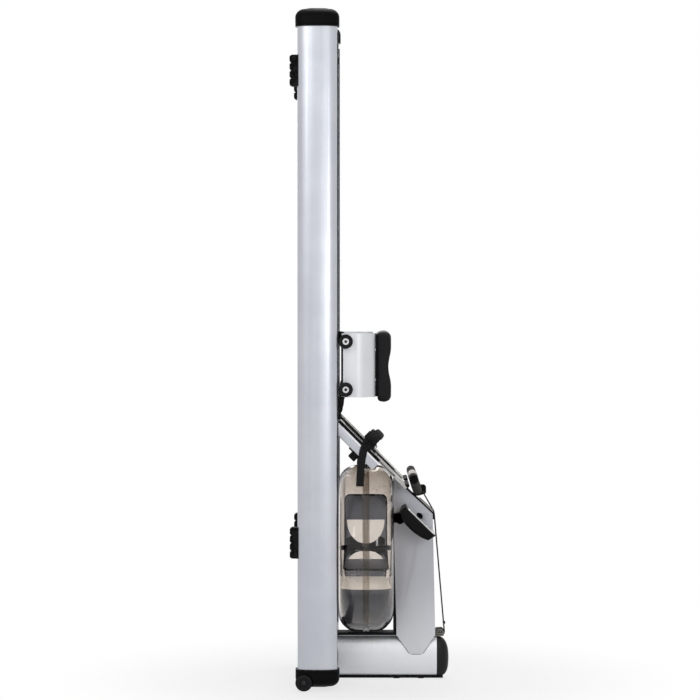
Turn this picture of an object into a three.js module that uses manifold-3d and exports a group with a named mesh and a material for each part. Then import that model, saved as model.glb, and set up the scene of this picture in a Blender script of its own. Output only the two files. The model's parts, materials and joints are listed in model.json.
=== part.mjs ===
// Water rowing machine on two aluminium rails, stood up on its front end for storage.
// Millimetres, +Z up. The rower's right side faces -Y. What faces up in use faces +X here.
// X is measured from the rails' upper face, and the last step centres the machine on the origin.
import * as THREE from "three";
import { mergeVertices } from "three/addons/utils/BufferGeometryUtils.js";
import Module from "manifold-3d";

const wasm = await Module();
wasm.setup();

// Fits
const gap = 0.3; // between pieces that touch
const runningFit = 0.05; // radial, between a shaft and its bore
const overrun = 8; // how far a cutting tool or a joined root runs on
const weld = 0.001; // vertices nearer than this are one

// Rail extrusion: an oval with narrow flat lands, used for rails, column and front beam
const railDepth = 124;
const railWidth = 70;
const railWall = 3;
const railLength = 1997;
const railSpacing = 500;
const ovalSteps = 6;
const landShare = 0.37;
const kneeShare = 0.86;
const sideShare = 0.55;

// Rail places
const railFace = 0;
const railBack = -railDepth;
const railX = -railDepth / 2;
const railY = railSpacing / 2;

// End caps of the rails
const capLength = 58;
const capOverhang = 6.5;
const capRound = 31;
const capDome = 3;
const capCrown = 6;
const capSteps = 4;
const capSpigot = 25;
const capLift = 9;
const railFoot = capLift + capLength + gap;
const railHead = railFoot + railLength;

// Transport wheels
const wheelRadius = 26.5;
const wheelWidth = 26;
const wheelRound = 3;
const wheelSetback = 20;
const wheelX = railBack + wheelSetback;
const wheelAxleRadius = 5;
const wheelRoom = 3;
const hubRadius = 11;
const hubDepth = 2;
const wheelSides = 24;

// Tracks on the rails, with a stop lug for the seat hooks at the rear end
const trackWidth = 24;
const trackRise = 3;
const trackStart = 214;
const trackMargin = 17.3;
const trackEnd = railHead - trackMargin;
const lugReach = 9;
const lugWidth = 9;
const lugLength = 20;
const lugSetback = 52.7;

// Ribbed pads that are the feet in use
const footRise = 24;
const footLength = 97;
const footWidth = 44;
const footRibs = 4;
const footGroove = 6;
const footSeat = 5;
const ribStartShare = 0.28;
const ribEndShare = 0.72;
const frontFootZ = 412;
const rearFootZ = 1880;

// Column at the front end, its cap, its floor strip and the front beam
const columnBottom = 10;
const columnEnd = 317;
const beamX = -35;
const columnCapRise = 38.7;
const columnCapShare = 0.72;
const columnCapSteps = 5;
const stripBottom = 2;
const stripWidth = 40;
const stripEnd = 337;
const bumpWidth = 36;
const bumpLength = 24;
const bumpCentres = [188, 266];
const columnTop = columnBottom + railDepth;
const columnZ = columnBottom + railDepth / 2;
const beamTop = beamX + railWidth / 2;

// Rear cross tube
const crossTubeRadius = 25;
const crossTubeWall = 3;
const crossTubeZ = 1930;
const crossTubeSides = 20;

// Water tank, axis along X
const tankRadius = 268;
const tankWall = 5;
const tankShoulder = 60;
const tankLow = 1.5;
const tankHigh = 177.5;
const tankSeam = 89.5;
const tankZ = 419;
const tankSides = 36;
const shoulderSteps = 4;
const bandWidth = 21;
const bandRise = 4.2;
const shaftRadius = 8;
const bossRadius = 16;
const bossHeight = 10;
const plugRadius = 12;
const plugHead = 17;
const plugHeadRise = 6;
const plugY = 150;
const plugRise = 80;
const plugZ = tankZ + plugRise;

// Paddle rotor
const bladeLow = 17.5;
const bladeHigh = 160.5;
const bladeTip = 174;
const bladeRound = 22;
const bladeThickness = 4;
const bladeCount = 3;
const bladeLeanShare = 1 / 30;
const rotorHubRadius = 11;
const rotorHubLength = 110;
const windowTop = 91;
const windowBottom = 13.5;
const windowHalf = 64;
const windowShare = 0.95;

// Tank frame: a plate behind the tank and a cradle bar below it
const frameThickness = 8.9;
const frameBottom = 141;
const frameBar = 13;
const frameWidth = 70;
const frameFootLength = 26;

// Deck: two side panels and a cover, round the column
const panelThickness = 3;
const deckLeft = 187;
const deckCornerX = 303.5;
const deckCornerZ = 532;
const deckShoulderZ = 142;
const deckShoulderX = 312;
const deckLeftTop = 641;
const tabLeft = 231;
const tabRight = 270;
const tabBottom = 81;
const tabRound = 7;
const slotTop = 536;
const slotEnd = 226;
const slotRound = 5;
const panelInner = railWidth / 2 + gap;
const panelOuter = panelInner + panelThickness;
const frameLeft = tankHigh + gap;
const portX = 259;
const portZ = 523;
const portRadius = 10.5;
const portSides = 20;
const coverThickness = 3;
const noseRadius = 8;
const noseSteps = 6;
const lipEndZ = 514;
const lidEndZ = 196;
const lidInset = 4;

// Monitor, its arm and its buttons
const armX = 197;
const armZ = 518;
const armRadius = 9;
const armSides = 20;
const armLength = 115;
const monitorLeft = 217;
const monitorTop = 569.5;
const monitorHeight = 131;
const monitorDepth = 43.4;
const monitorWidth = 150;
const monitorY = -130;
const monitorBevel = 5;
const collarWall = 6;
const collarWidth = 22;
const buttonRadius = 7;
const buttonRise = 2.5;
const buttonTravel = 1.5;
const buttonDepth = 4;
const buttonPitch = 32;
const buttonPlace = 104;
const buttonSides = 16;
// Thickness of the monitor's case along its face: [share of height, share of depth]
const monitorProfileShares = [
  [0, 0.08],
  [-0.02, 0.38],
  [0.015, 0.64],
  [0.08, 0.84],
  [0.19, 0.94],
  [0.34, 0.99],
  [0.5, 1],
  [0.66, 0.94],
  [0.8, 0.84],
  [0.91, 0.7],
  [0.955, 0.58],
  [1, 0.04],
];

// Foot boards, in a frame that slopes down from the rails at 45 degrees
const slopeTop = 836;
const slopeTurn = Math.PI / 4;
const strutSize = 30;
const strutStart = -80;
const strutEnd = 184;
const strutOuter = railY - railWidth / 2 - gap;
const crossBarWidth = 24.4;
const crossBarRise = 27.7;
const crossBarPlace = 118;
const boardStart = 3;
const boardEnd = 285;
const boardInner = 40;
const boardOuter = strutOuter;
const boardThickness = 10;
const sliderStart = 24;
const sliderEnd = 279;
const sliderMargin = 6;
const sliderThickness = 4.4;
const lipLength = 18;
const lipRise = 4.5;
const notchStart = 168;
const notchPitch = 6.3;
const notchWidth = 3;
const notchDepth = 12;
const notchCount = 12;

// Foot straps
const strapWidth = 24;
const strapThickness = 2;
const strapPlace = 124;
const strapHeight = 68;
const strapFoot = 2;
const strapSteps = 10;
const archShare = 0.7;
const tailSteps = 6;
// The tail's way, in the sloping frame: [distance down the slope, height out of it]
const tailWay = [
  [112, 46],
  [112, 12],
  [131, -20],
  [156, -53],
  [193, -94],
];

// Seat
const seatWheelRadius = 22.4;
const seatWheelWidth = 24;
const seatWheelSides = 20;
const seatWheelAxle = 5;
const seatWheelLowZ = 937.6;
const seatWheelBase = 149.8;
const seatBottom = 912.5;
const seatLength = 200;
const carriageSheet = 4;
const carriageSide = 226;
const carriageLow = 13;
const carriageHigh = 118.2;
const carriageBend = 60;
const bendSteps = 6;
const hookWidth = 5;
const hookLow = -8;
const hookBottom = 1077;
const hookTop = 1114;
const hookSweep = 12;
const trayWidth = 280;
const trayThickness = 7;
const trayMargin = 4;
const cushionWidth = 300;
const cushionLength = 226;
const cushionDrop = 6.5;
const cushionRise = 42.5;
const cushionDip = 10;
const cushionRound = 9;
const cushionStations = 12;
const cushionPoints = 16;
const dipHalf = 62;
const cushionTaperShare = 0.3;
const cushionEdgeShare = 0.78;
const cushionEndShare = 0.34;
const cushionEdgePower = 14;

// Seat stops on the tracks
const stopLength = 70;
const stopHeight = 17.2;
const stopToe = 7.7;
const stopHeelLength = 20;

// Handle
const handleAlong = 76.9; // down the deck's slope
const handleOut = 18.81; // out of the deck's slope
const handleHalf = 225;
const handleInner = 22;
const gripRadius = 15;
const gripSweepX = -18;
const gripSweepZ = 55;
const gripSides = 16;
const gripRoundSteps = 3;
const yokeWidth = 44;
const yokeRound = 6;
const yokeReach = 27;
const yokeMouthShare = 0.35;

// Belt, its guide, the front pulley with its bracket and the drum
const beltWidth = 22;
const beltThickness = 2;
const pulleyX = 329;
const pulleyZ = 150;
const pulleyCore = 11.7;
const pulleyFlange = 15;
const pulleySides = 20;
const pulleyAxle = 4;
const flangeThickness = 2.5;
const bracketEar = 3;
const bracketReach = 23;
const bracketBase = columnEnd - bracketReach;
const bracketRise = 3;
const bracketEye = 9;
const drumX = 194;
const drumWidth = 29;
const drumCore = 20;
const drumFlange = 30;
const guideStart = 94;
const guideEnd = 158;
const guideWidth = 30;
const guideBase = 2.5;
const guideRim = 2.5;
const guideRimRise = 5.5;
const wrapSteps = 8;
const riserSteps = 4;

// Colours
const silver = { color: 0xd9dbe0, roughness: 0.38, metalness: 0.85 };
const panelGrey = { color: 0xb9bcc4, roughness: 0.45, metalness: 0.6 };
const black = { color: 0x1c1c1e, roughness: 0.55, metalness: 0 };
const rubber = { color: 0x18181a, roughness: 0.85, metalness: 0 };
const smoke = { color: 0xb8ab9c, roughness: 0.08, metalness: 0, transparent: true, opacity: 0.35 };
const lightGrey = { color: 0xc9c8c4, roughness: 0.5, metalness: 0 };
const webbing = { color: 0x1a1a1b, roughness: 0.9, metalness: 0 };
const foam = { color: 0x3a3836, roughness: 0.95, metalness: 0 };
const hide = { color: 0x232324, roughness: 0.6, metalness: 0 };

const machine = new THREE.Group();

function addPiece(name, source, finish, parent = machine) {
  const geometry = source.isBufferGeometry ? source : toGeometry(source);
  geometry.computeVertexNormals();
  const mesh = new THREE.Mesh(geometry, new THREE.MeshStandardMaterial(finish));
  mesh.name = name;
  parent.add(mesh);
  return mesh;
}

function toSolid(geometry) {
  const bare = geometry.clone();
  bare.deleteAttribute("normal");
  bare.deleteAttribute("uv");
  const merged = mergeVertices(bare, weld);
  return new wasm.Manifold(
    new wasm.Mesh({
      numProp: 3,
      vertProperties: merged.attributes.position.array,
      triVerts: new Uint32Array(merged.index.array),
    }),
  );
}

function toGeometry(solid) {
  const mesh = solid.getMesh();
  const geometry = new THREE.BufferGeometry();
  geometry.setAttribute("position", new THREE.BufferAttribute(mesh.vertProperties, 3));
  geometry.setIndex(new THREE.BufferAttribute(mesh.triVerts, 1));
  return geometry;
}

function joined(...geometries) {
  return geometries.map(toSolid).reduce((whole, next) => whole.add(next));
}

function without(solid, ...tools) {
  return tools.map(toSolid).reduce((rest, tool) => rest.subtract(tool), solid);
}

function shapeOf(pairs) {
  return new THREE.Shape(pairs.map(([a, b]) => new THREE.Vector2(a, b)));
}

function extruded(outline, depth, options) {
  return new THREE.ExtrudeGeometry(outline, {
    depth,
    bevelEnabled: false,
    curveSegments: 6,
    ...options,
  });
}

// An outline drawn in (x, y), raised along Z
function upZ(outline, low, high, options) {
  return extruded(outline, high - low, options).translate(0, 0, low);
}

// An outline drawn in (x, z), carried across Y
function acrossY(outline, low, high, options) {
  return extruded(outline, high - low, options).rotateX(Math.PI / 2).translate(0, high, 0);
}

// An outline drawn in (y, z), carried along X
function alongX(outline, low, high, options) {
  const turn = new THREE.Matrix4().makeBasis(
    new THREE.Vector3(0, 1, 0),
    new THREE.Vector3(0, 0, 1),
    new THREE.Vector3(1, 0, 0),
  );
  return extruded(outline, high - low, options).applyMatrix4(turn).translate(low, 0, 0);
}

function block(low, high) {
  const geometry = new THREE.BoxGeometry(high[0] - low[0], high[1] - low[1], high[2] - low[2]);
  const middle = low.map((value, axis) => (value + high[axis]) / 2);
  return geometry.translate(...middle);
}

// A profile of [radius, height] pairs, turned about the Z axis
function turned(pairs, sides) {
  const profile = pairs.map(([radius, height]) => new THREE.Vector2(radius, height));
  return new THREE.LatheGeometry(profile, sides).rotateX(Math.PI / 2);
}

function turnedAlongY(pairs, sides) {
  return turned(pairs, sides).rotateX(-Math.PI / 2);
}

function turnedAlongX(pairs, sides) {
  return turned(pairs, sides).rotateY(Math.PI / 2);
}

function rod(radius, low, high) {
  return [
    [0, low],
    [radius, low],
    [radius, high],
    [0, high],
  ];
}

// The corner radius of a bore whose flats clear a shaft by the running fit
function boreFor(shaft, sides) {
  return (shaft + runningFit) / Math.cos(Math.PI / sides);
}

// Rings of equally many points, joined side by side and closed at both ends
function skinned(rings) {
  const count = rings[0].length;
  const last = (rings.length - 1) * count;
  const index = [];
  for (let start = 0; start < last; start += count) {
    for (let i = 0; i < count; i++) {
      const a = start + i;
      const b = start + ((i + 1) % count);
      index.push(a, b, b + count, a, b + count, a + count);
    }
  }
  for (let i = 1; i < count - 1; i++) {
    index.push(0, i + 1, i);
    index.push(last, last + i, last + i + 1);
  }
  const geometry = new THREE.BufferGeometry();
  const values = rings.flat().flatMap((point) => [point.x, point.y, point.z]);
  geometry.setAttribute("position", new THREE.Float32BufferAttribute(values, 3));
  geometry.setIndex(index);
  return geometry;
}

// A flat strap through stations of [centre, direction across, direction out of its face]
function ribbon(stations, width, thickness) {
  const rings = stations.map(([centre, across, face]) => {
    const corner = (a, b) =>
      centre
        .clone()
        .addScaledVector(across, (a * width) / 2)
        .addScaledVector(face, (b * thickness) / 2);
    return [corner(-1, -1), corner(1, -1), corner(1, 1), corner(-1, 1)];
  });
  return skinned(rings);
}

// Half of a round arc from one angle to another, as [a, b] pairs
function arcPairs(centreA, centreB, radius, from, to, steps) {
  const pairs = [];
  for (let i = 0; i <= steps; i++) {
    const angle = from + ((to - from) * i) / steps;
    pairs.push([centreA + radius * Math.cos(angle), centreB + radius * Math.sin(angle)]);
  }
  return pairs;
}

// The rail's oval as points of (depth, width), for given half sizes
function ovalPoints(halfDepth, halfWidth) {
  const corner = new THREE.CubicBezierCurve(
    new THREE.Vector2(halfDepth, halfWidth * landShare),
    new THREE.Vector2(halfDepth, halfWidth * kneeShare),
    new THREE.Vector2(halfDepth * sideShare, halfWidth),
    new THREE.Vector2(0, halfWidth),
  );
  const quarter = corner.getPoints(ovalSteps);
  const back = quarter.slice(0, -1).reverse();
  const half = [...quarter, ...back.map((p) => new THREE.Vector2(-p.x, p.y))];
  return [...half, ...half.map((p) => new THREE.Vector2(-p.x, -p.y))];
}

function oval(grow = 0) {
  return ovalPoints(railDepth / 2 + grow, railWidth / 2 + grow);
}

function ovalTube() {
  const outline = new THREE.Shape(oval());
  outline.holes.push(new THREE.Path(oval(-railWall)));
  return outline;
}

// A rail's outside as a cutting tool, with clearance
function railTool(side, grow, low, high) {
  return upZ(new THREE.Shape(oval(grow)), low, high).translate(railX, side * railY, 0);
}

const sides = [
  ["right", -1],
  ["left", 1],
];

// Rails
for (const [name, side] of sides) {
  const rail = upZ(ovalTube(), railFoot, railHead).translate(railX, side * railY, 0);
  addPiece("rail_" + name, rail, silver);
}

// End caps: a flange over the rail's end, a round nose and a spigot in the bore
function capRings() {
  const straight = capLength - capRound;
  const rings = [[0, 0], [0, straight]];
  for (let i = 1; i <= capSteps; i++) {
    const angle = (i / capSteps) * (Math.PI / 2);
    const inset = capRound * (1 - Math.cos(angle));
    rings.push([inset, straight + (capRound - capDome) * Math.sin(angle)]);
  }
  rings.push([capRound + capCrown, capLength]);
  return rings.map(([inset, height]) =>
    oval(capOverhang - inset).map((p) => new THREE.Vector3(p.x, p.y, height)),
  );
}

function capSolid() {
  const spigot = upZ(new THREE.Shape(oval(-railWall - gap)), -capSpigot, capDome);
  return joined(skinned(capRings()), spigot);
}

for (const [name, side] of sides) {
  const rear = toGeometry(capSolid()).translate(railX, side * railY, railHead + gap);
  addPiece("rear_cap_" + name, rear, black);

  const front = toGeometry(capSolid()).rotateX(Math.PI);
  front.translate(railX, side * railY, railFoot - gap);
  const wheelOuter = railY + railWidth / 2 + capOverhang - wheelRound;
  const wheelInner = wheelOuter - wheelWidth;
  const room = turnedAlongY(
    rod(wheelRadius + wheelRoom, side * (wheelInner - wheelRoom), side * (wheelOuter + overrun)),
    wheelSides,
  ).translate(wheelX, 0, wheelRadius);
  const axle = turnedAlongY(
    rod(wheelAxleRadius, side * (wheelInner - overrun), side * (wheelOuter - hubDepth)),
    wheelSides,
  ).translate(wheelX, 0, wheelRadius);
  const housing = toSolid(front).subtract(solidFacingOut(room));
  addPiece("front_cap_" + name, housing.add(solidFacingOut(axle)), black);

  const wheel = turnedAlongY(
    wheelProfile(wheelRadius, wheelWidth, wheelAxleRadius, wheelSides),
    wheelSides,
  );
  if (side < 0) {
    wheel.rotateX(Math.PI);
  }
  wheel.translate(wheelX, side * wheelInner, wheelRadius);
  addPiece("transport_wheel_" + name, wheel, rubber);
}

// A solid turned from heights in falling order is inside out, so its faces are turned round
function solidFacingOut(geometry) {
  const index = geometry.index.array;
  if (toSolid(geometry).volume() < 0) {
    for (let i = 0; i < index.length; i += 3) {
      [index[i + 1], index[i + 2]] = [index[i + 2], index[i + 1]];
    }
  }
  return toSolid(geometry);
}

// A wheel's closed profile, from its inner face up to its outer face
function wheelProfile(radius, width, axle, count) {
  const bore = boreFor(axle, count);
  return [
    [bore, 0],
    [radius - wheelRound, 0],
    [radius, wheelRound],
    [radius, width - wheelRound],
    [radius - wheelRound, width],
    [hubRadius, width],
    [hubRadius, width - hubDepth],
    [bore, width - hubDepth],
    [bore, 0],
  ];
}

// Tracks with their stop lugs
const trackLow = railFace + gap;
const trackTop = trackLow + trackRise;
const lugLow = trackEnd - lugSetback;
for (const [name, side] of sides) {
  const strip = block(
    [trackLow, side * railY - trackWidth / 2, trackStart],
    [trackTop, side * railY + trackWidth / 2, trackEnd],
  );
  const lugEdge = side * (carriageSide - carriageSheet - hookWidth);
  const stripEdge = side * (railY - trackWidth / 2 + trackRise);
  const bridge = block(
    [trackLow, Math.min(lugEdge, stripEdge), lugLow],
    [trackTop, Math.max(lugEdge, stripEdge), lugLow + lugLength],
  );
  const lugInner = side * (carriageSide - carriageSheet - hookWidth + lugWidth);
  const lug = block(
    [trackTop - trackRise - lugReach, Math.min(lugEdge, lugInner), lugLow],
    [trackTop, Math.max(lugEdge, lugInner), lugLow + lugLength],
  );
  const cope = railTool(side, gap, lugLow - overrun, lugLow + lugLength + overrun);
  addPiece("track_" + name, without(joined(strip, bridge, lug), cope), black);
}

// Feet: pads with rounded ribs, saddled on the rail
function footOutline(low) {
  const pitch = footLength / footRibs;
  const pairs = [[railBack + footSeat, low], [railBack + footSeat, low + footLength]];
  for (let rib = footRibs - 1; rib >= 0; rib--) {
    const start = low + rib * pitch;
    const crest = railBack - footRise;
    pairs.push([crest + footGroove, start + pitch]);
    pairs.push([crest + footGroove, start + pitch - footGroove / 2]);
    pairs.push([crest, start + pitch * ribEndShare]);
    pairs.push([crest, start + pitch * ribStartShare]);
    pairs.push([crest + footGroove, start + footGroove / 2]);
  }
  pairs.push([railBack - footRise + footGroove, low]);
  return shapeOf(pairs);
}

for (const [name, side] of sides) {
  for (const [end, low] of [["front", frontFootZ], ["rear", rearFootZ]]) {
    const middle = side * railY;
    const pad = acrossY(footOutline(low), middle - footWidth / 2, middle + footWidth / 2);
    const tool = railTool(side, gap, low - overrun, low + footLength + overrun);
    addPiece(end + "_foot_" + name, without(toSolid(pad), tool), rubber);
  }
}

// Front beam between the rails, coped round the rails and their caps
const lyingOval = (grow) => oval(grow).map((p) => new THREE.Vector2(p.y + beamX, p.x + columnZ));
const beamBar = acrossY(new THREE.Shape(lyingOval(0)), -railY, railY);
const beamTools = sides.flatMap(([, side]) => [
  railTool(side, gap, railFoot - gap, columnTop + overrun),
  railTool(side, capOverhang + gap, columnBottom - overrun, railFoot),
]);
addPiece("front_beam", without(toSolid(beamBar), ...beamTools), black);

// Rear cross tube
const crossTube = turnedAlongY(
  [
    [crossTubeRadius - crossTubeWall, -railY],
    [crossTubeRadius, -railY],
    [crossTubeRadius, railY],
    [crossTubeRadius - crossTubeWall, railY],
    [crossTubeRadius - crossTubeWall, -railY],
  ],
  crossTubeSides,
).translate(railX, 0, crossTubeZ);
const tubeTools = sides.map(([, side]) =>
  railTool(side, gap, crossTubeZ - 2 * crossTubeRadius, crossTubeZ + 2 * crossTubeRadius),
);
addPiece("rear_cross_tube", without(toSolid(crossTube), ...tubeTools), black);

// Column: the rail's extrusion on end, coped to the front beam
const standingOval = (grow) =>
  oval(grow).map((p) => new THREE.Vector2(p.y, p.x + columnZ)).reverse();
const columnShape = new THREE.Shape(standingOval(0));
columnShape.holes.push(new THREE.Path(standingOval(-railWall)));
const columnTube = alongX(columnShape, beamX, columnEnd);
const beamTool = acrossY(new THREE.Shape(lyingOval(gap)), -railWidth, railWidth);
addPiece("column", without(toSolid(columnTube), beamTool), silver);

const columnCapRings = [];
for (let i = 0; i <= columnCapSteps; i++) {
  const angle = (i / columnCapSteps) * (Math.PI / 2);
  const share = 1 - columnCapShare * (1 - Math.cos(angle));
  const x = columnEnd + gap + columnCapRise * Math.sin(angle);
  const points = ovalPoints((railDepth / 2) * share, (railWidth / 2) * share);
  columnCapRings.push(points.map((p) => new THREE.Vector3(x, -p.y, p.x + columnZ)));
}
addPiece("column_cap", skinned(columnCapRings), black);

// Floor strip with two foot bumps
const strip = block(
  [beamTop, -stripWidth / 2, stripBottom],
  [stripEnd, stripWidth / 2, columnBottom - gap],
);
const bumps = bumpCentres.map((x) => {
  const outline = shapeOf([
    [x - bumpLength / 2, stripBottom + gap],
    [x - bumpLength / 3, 0],
    [x + bumpLength / 3, 0],
    [x + bumpLength / 2, stripBottom + gap],
  ]);
  return acrossY(outline, -bumpWidth / 2, bumpWidth / 2);
});
addPiece("floor_strip", joined(strip, ...bumps), rubber);

// Tank: two dished shells, a seal band round the seam and a filler plug
const tankJoint = tankSeam - gap / 2;
const lowShellPairs = [
  [0, tankLow],
  ...arcPairs(tankRadius - tankShoulder, tankLow + tankShoulder, tankShoulder,
    -Math.PI / 2, 0, shoulderSteps),
  [tankRadius, tankJoint],
  [tankRadius - tankWall, tankJoint],
  ...arcPairs(tankRadius - tankShoulder, tankLow + tankShoulder, tankShoulder - tankWall,
    0, -Math.PI / 2, shoulderSteps),
  [bossRadius, tankLow + tankWall],
  [bossRadius, tankLow + tankWall + bossHeight],
  [boreFor(shaftRadius, tankSides), tankLow + tankWall + bossHeight],
  [boreFor(shaftRadius, tankSides), tankLow + tankWall],
  [0, tankLow + tankWall],
];
const lowShell = turnedAlongX(lowShellPairs, tankSides).translate(0, 0, tankZ);
addPiece("tank_shell_lower", lowShell, smoke);

const highJoint = tankSeam + gap / 2;
const highShellPairs = [
  [boreFor(shaftRadius, tankSides), tankHigh - tankWall],
  ...arcPairs(tankRadius - tankShoulder, tankHigh - tankShoulder, tankShoulder - tankWall,
    Math.PI / 2, 0, shoulderSteps),
  [tankRadius - tankWall, highJoint],
  [tankRadius, highJoint],
  ...arcPairs(tankRadius - tankShoulder, tankHigh - tankShoulder, tankShoulder,
    0, Math.PI / 2, shoulderSteps),
  [boreFor(shaftRadius, tankSides), tankHigh],
  [boreFor(shaftRadius, tankSides), tankHigh - tankWall],
];
const highShell = turnedAlongX(highShellPairs, tankSides).translate(0, 0, tankZ);
const plugHole = turnedAlongX(
  rod(plugRadius + gap, tankHigh - tankWall - overrun, tankHigh + overrun),
  portSides,
).translate(0, plugY, plugZ);
addPiece("tank_shell_upper", without(toSolid(highShell), plugHole), smoke);

const band = turnedAlongX(
  [
    [tankRadius + gap, tankSeam - bandWidth / 2],
    [tankRadius + bandRise, tankSeam - bandWidth / 2],
    [tankRadius + bandRise, tankSeam + bandWidth / 2],
    [tankRadius + gap, tankSeam + bandWidth / 2],
    [tankRadius + gap, tankSeam - bandWidth / 2],
  ],
  tankSides,
).translate(0, 0, tankZ);
addPiece("tank_band", band, smoke);

const plug = turnedAlongX(
  [
    [0, tankHigh - tankWall],
    [plugRadius, tankHigh - tankWall],
    [plugRadius, tankHigh + gap],
    [plugHead, tankHigh + gap],
    [plugHead, tankHigh + gap + plugHeadRise],
    [0, tankHigh + gap + plugHeadRise],
  ],
  portSides,
).translate(0, plugY, plugZ);
addPiece("filler_plug", plug, black);

// Paddle rotor: a hub, windowed blades and the shaft that carries the drum
function bladeOutline() {
  const outline = new THREE.Shape();
  outline.moveTo(bladeLow, 0);
  outline.lineTo(bladeHigh, 0);
  outline.lineTo(bladeHigh, bladeTip - bladeRound);
  outline.quadraticCurveTo(bladeHigh, bladeTip, bladeHigh - bladeRound, bladeTip);
  outline.lineTo(bladeLow + bladeRound, bladeTip);
  outline.quadraticCurveTo(bladeLow, bladeTip, bladeLow, bladeTip - bladeRound);
  const middle = (bladeLow + bladeHigh) / 2;
  const opening = new THREE.Path();
  opening.moveTo(middle - windowHalf, windowTop);
  opening.quadraticCurveTo(
    middle - windowHalf * windowShare, windowBottom, middle, windowBottom);
  opening.quadraticCurveTo(
    middle + windowHalf * windowShare, windowBottom, middle + windowHalf, windowTop);
  outline.holes.push(opening);
  return outline;
}

const rotorMiddle = (bladeLow + bladeHigh) / 2;
const rotorParts = [
  turnedAlongX(
    rod(rotorHubRadius, rotorMiddle - rotorHubLength / 2, rotorMiddle + rotorHubLength / 2),
    wheelSides,
  ),
  turnedAlongX(rod(shaftRadius, tankLow + tankWall + gap, drumX + drumWidth), tankSides),
];
for (let i = 0; i < bladeCount; i++) {
  const blade = acrossY(bladeOutline(), -bladeThickness / 2, bladeThickness / 2);
  rotorParts.push(blade.rotateX((i / bladeCount - bladeLeanShare) * 2 * Math.PI));
}
addPiece("paddle_rotor", toGeometry(joined(...rotorParts)).translate(0, 0, tankZ), black);

// Belt drum on the shaft's end, inside the deck
const drum = turnedAlongX(
  [
    [boreFor(shaftRadius, tankSides), drumX],
    [drumFlange, drumX],
    [drumFlange, drumX + flangeThickness],
    [drumCore, drumX + flangeThickness],
    [drumCore, drumX + drumWidth - flangeThickness],
    [drumFlange, drumX + drumWidth - flangeThickness],
    [drumFlange, drumX + drumWidth],
    [boreFor(shaftRadius, tankSides), drumX + drumWidth],
    [boreFor(shaftRadius, tankSides), drumX],
  ],
  tankSides,
).translate(0, 0, tankZ);
addPiece("belt_drum", drum, black);

// Tank frame: plate and cradle in one, saddled to the tank
const frameRight = frameLeft + frameThickness;
const frameOutline = shapeOf([
  [frameLeft, slopeTop + railFace - frameLeft],
  [frameLeft, frameBottom + frameBar],
  [beamX - frameFootLength / 2, frameBottom + frameBar],
  [beamX - frameFootLength / 2, columnTop + gap],
  [beamX + frameFootLength / 2, columnTop + gap],
  [beamX + frameFootLength / 2, frameBottom],
  [frameRight, frameBottom],
  [frameRight, slopeTop + railFace - frameRight],
]);
const framePlate = acrossY(frameOutline, -frameWidth / 2, frameWidth / 2);
const tankTool = turnedAlongX(
  rod(tankRadius + bandRise + gap, tankLow - overrun, tankHigh + gap),
  tankSides,
).translate(0, 0, tankZ);
const shaftTool = turnedAlongX(
  rod(shaftRadius + gap, tankHigh - overrun, frameRight + overrun),
  tankSides,
).translate(0, 0, tankZ);
addPiece("tank_frame", without(toSolid(framePlate), tankTool, shaftTool), black);

// Deck side panels, with the arm's slot and a round port
function deckOutline(withSlot) {
  const outline = new THREE.Shape();
  outline.moveTo(deckLeft, deckShoulderZ);
  outline.lineTo(tabLeft - tabRound / 2, tabBottom + tabRound / 2);
  outline.quadraticCurveTo(tabLeft, tabBottom, tabLeft + tabRound, tabBottom);
  outline.lineTo(tabRight - tabRound, tabBottom);
  outline.quadraticCurveTo(tabRight, tabBottom, tabRight + tabRound / 2, tabBottom + tabRound / 2);
  outline.lineTo(deckShoulderX, deckShoulderZ);
  outline.lineTo(deckCornerX, deckCornerZ);
  outline.lineTo(deckLeft, deckLeftTop);
  if (withSlot) {
    const slotBottom = armZ - armRadius - gap;
    outline.lineTo(deckLeft, slotTop + slotRound);
    outline.quadraticCurveTo(deckLeft, slotTop, deckLeft + slotRound, slotTop);
    outline.lineTo(slotEnd, slotTop);
    outline.lineTo(slotEnd, slotBottom);
    outline.lineTo(deckLeft + slotRound, slotBottom);
    outline.quadraticCurveTo(deckLeft, slotBottom, deckLeft, slotBottom - slotRound);
    const port = new THREE.Path();
    port.absarc(portX, portZ, portRadius, 0, 2 * Math.PI, false);
    outline.holes.push(port);
  }
  return outline;
}
addPiece("deck_side_right", acrossY(deckOutline(true), -panelOuter, -panelInner), panelGrey);
addPiece("deck_side_left", acrossY(deckOutline(false), panelInner, panelOuter), panelGrey);

// Deck cover: a sheet on the sloping edge, a nose that turns the belt, and a lid down the top
const slopeRun = new THREE.Vector2(deckCornerX - deckLeft, deckCornerZ - deckLeftTop).normalize();
const slopeOut = new THREE.Vector2(-slopeRun.y, slopeRun.x);
const onDeck = (along, out) => [
  deckLeft + slopeRun.x * along + slopeOut.x * out,
  deckLeftTop + slopeRun.y * along + slopeOut.y * out,
];
const slopeLength = Math.hypot(deckCornerX - deckLeft, deckCornerZ - deckLeftTop);
const noseInset = (noseRadius - gap - coverThickness) / (slopeOut.x + slopeOut.y);
const lidTilt = (deckShoulderX - deckCornerX) / (deckCornerZ - deckShoulderZ);
const lipX = deckCornerX + (deckCornerZ - lipEndZ) * lidTilt + gap;
const noseX = deckCornerX - noseInset;
const noseZ = deckCornerZ - noseInset;
const nosePairs = arcPairs(
  noseX, noseZ, noseRadius, Math.atan2(slopeOut.y, slopeOut.x), 0, noseSteps);
const noseSheet = shapeOf([
  onDeck(0, gap),
  onDeck(0, gap + coverThickness),
  ...nosePairs,
  [noseX + noseRadius, lipEndZ],
  [lipX, lipEndZ],
  [lipX, deckCornerZ],
  onDeck(slopeLength, gap),
]);
const lidX = (z) => deckCornerX + (deckCornerZ - z) * lidTilt - lidInset;
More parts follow.
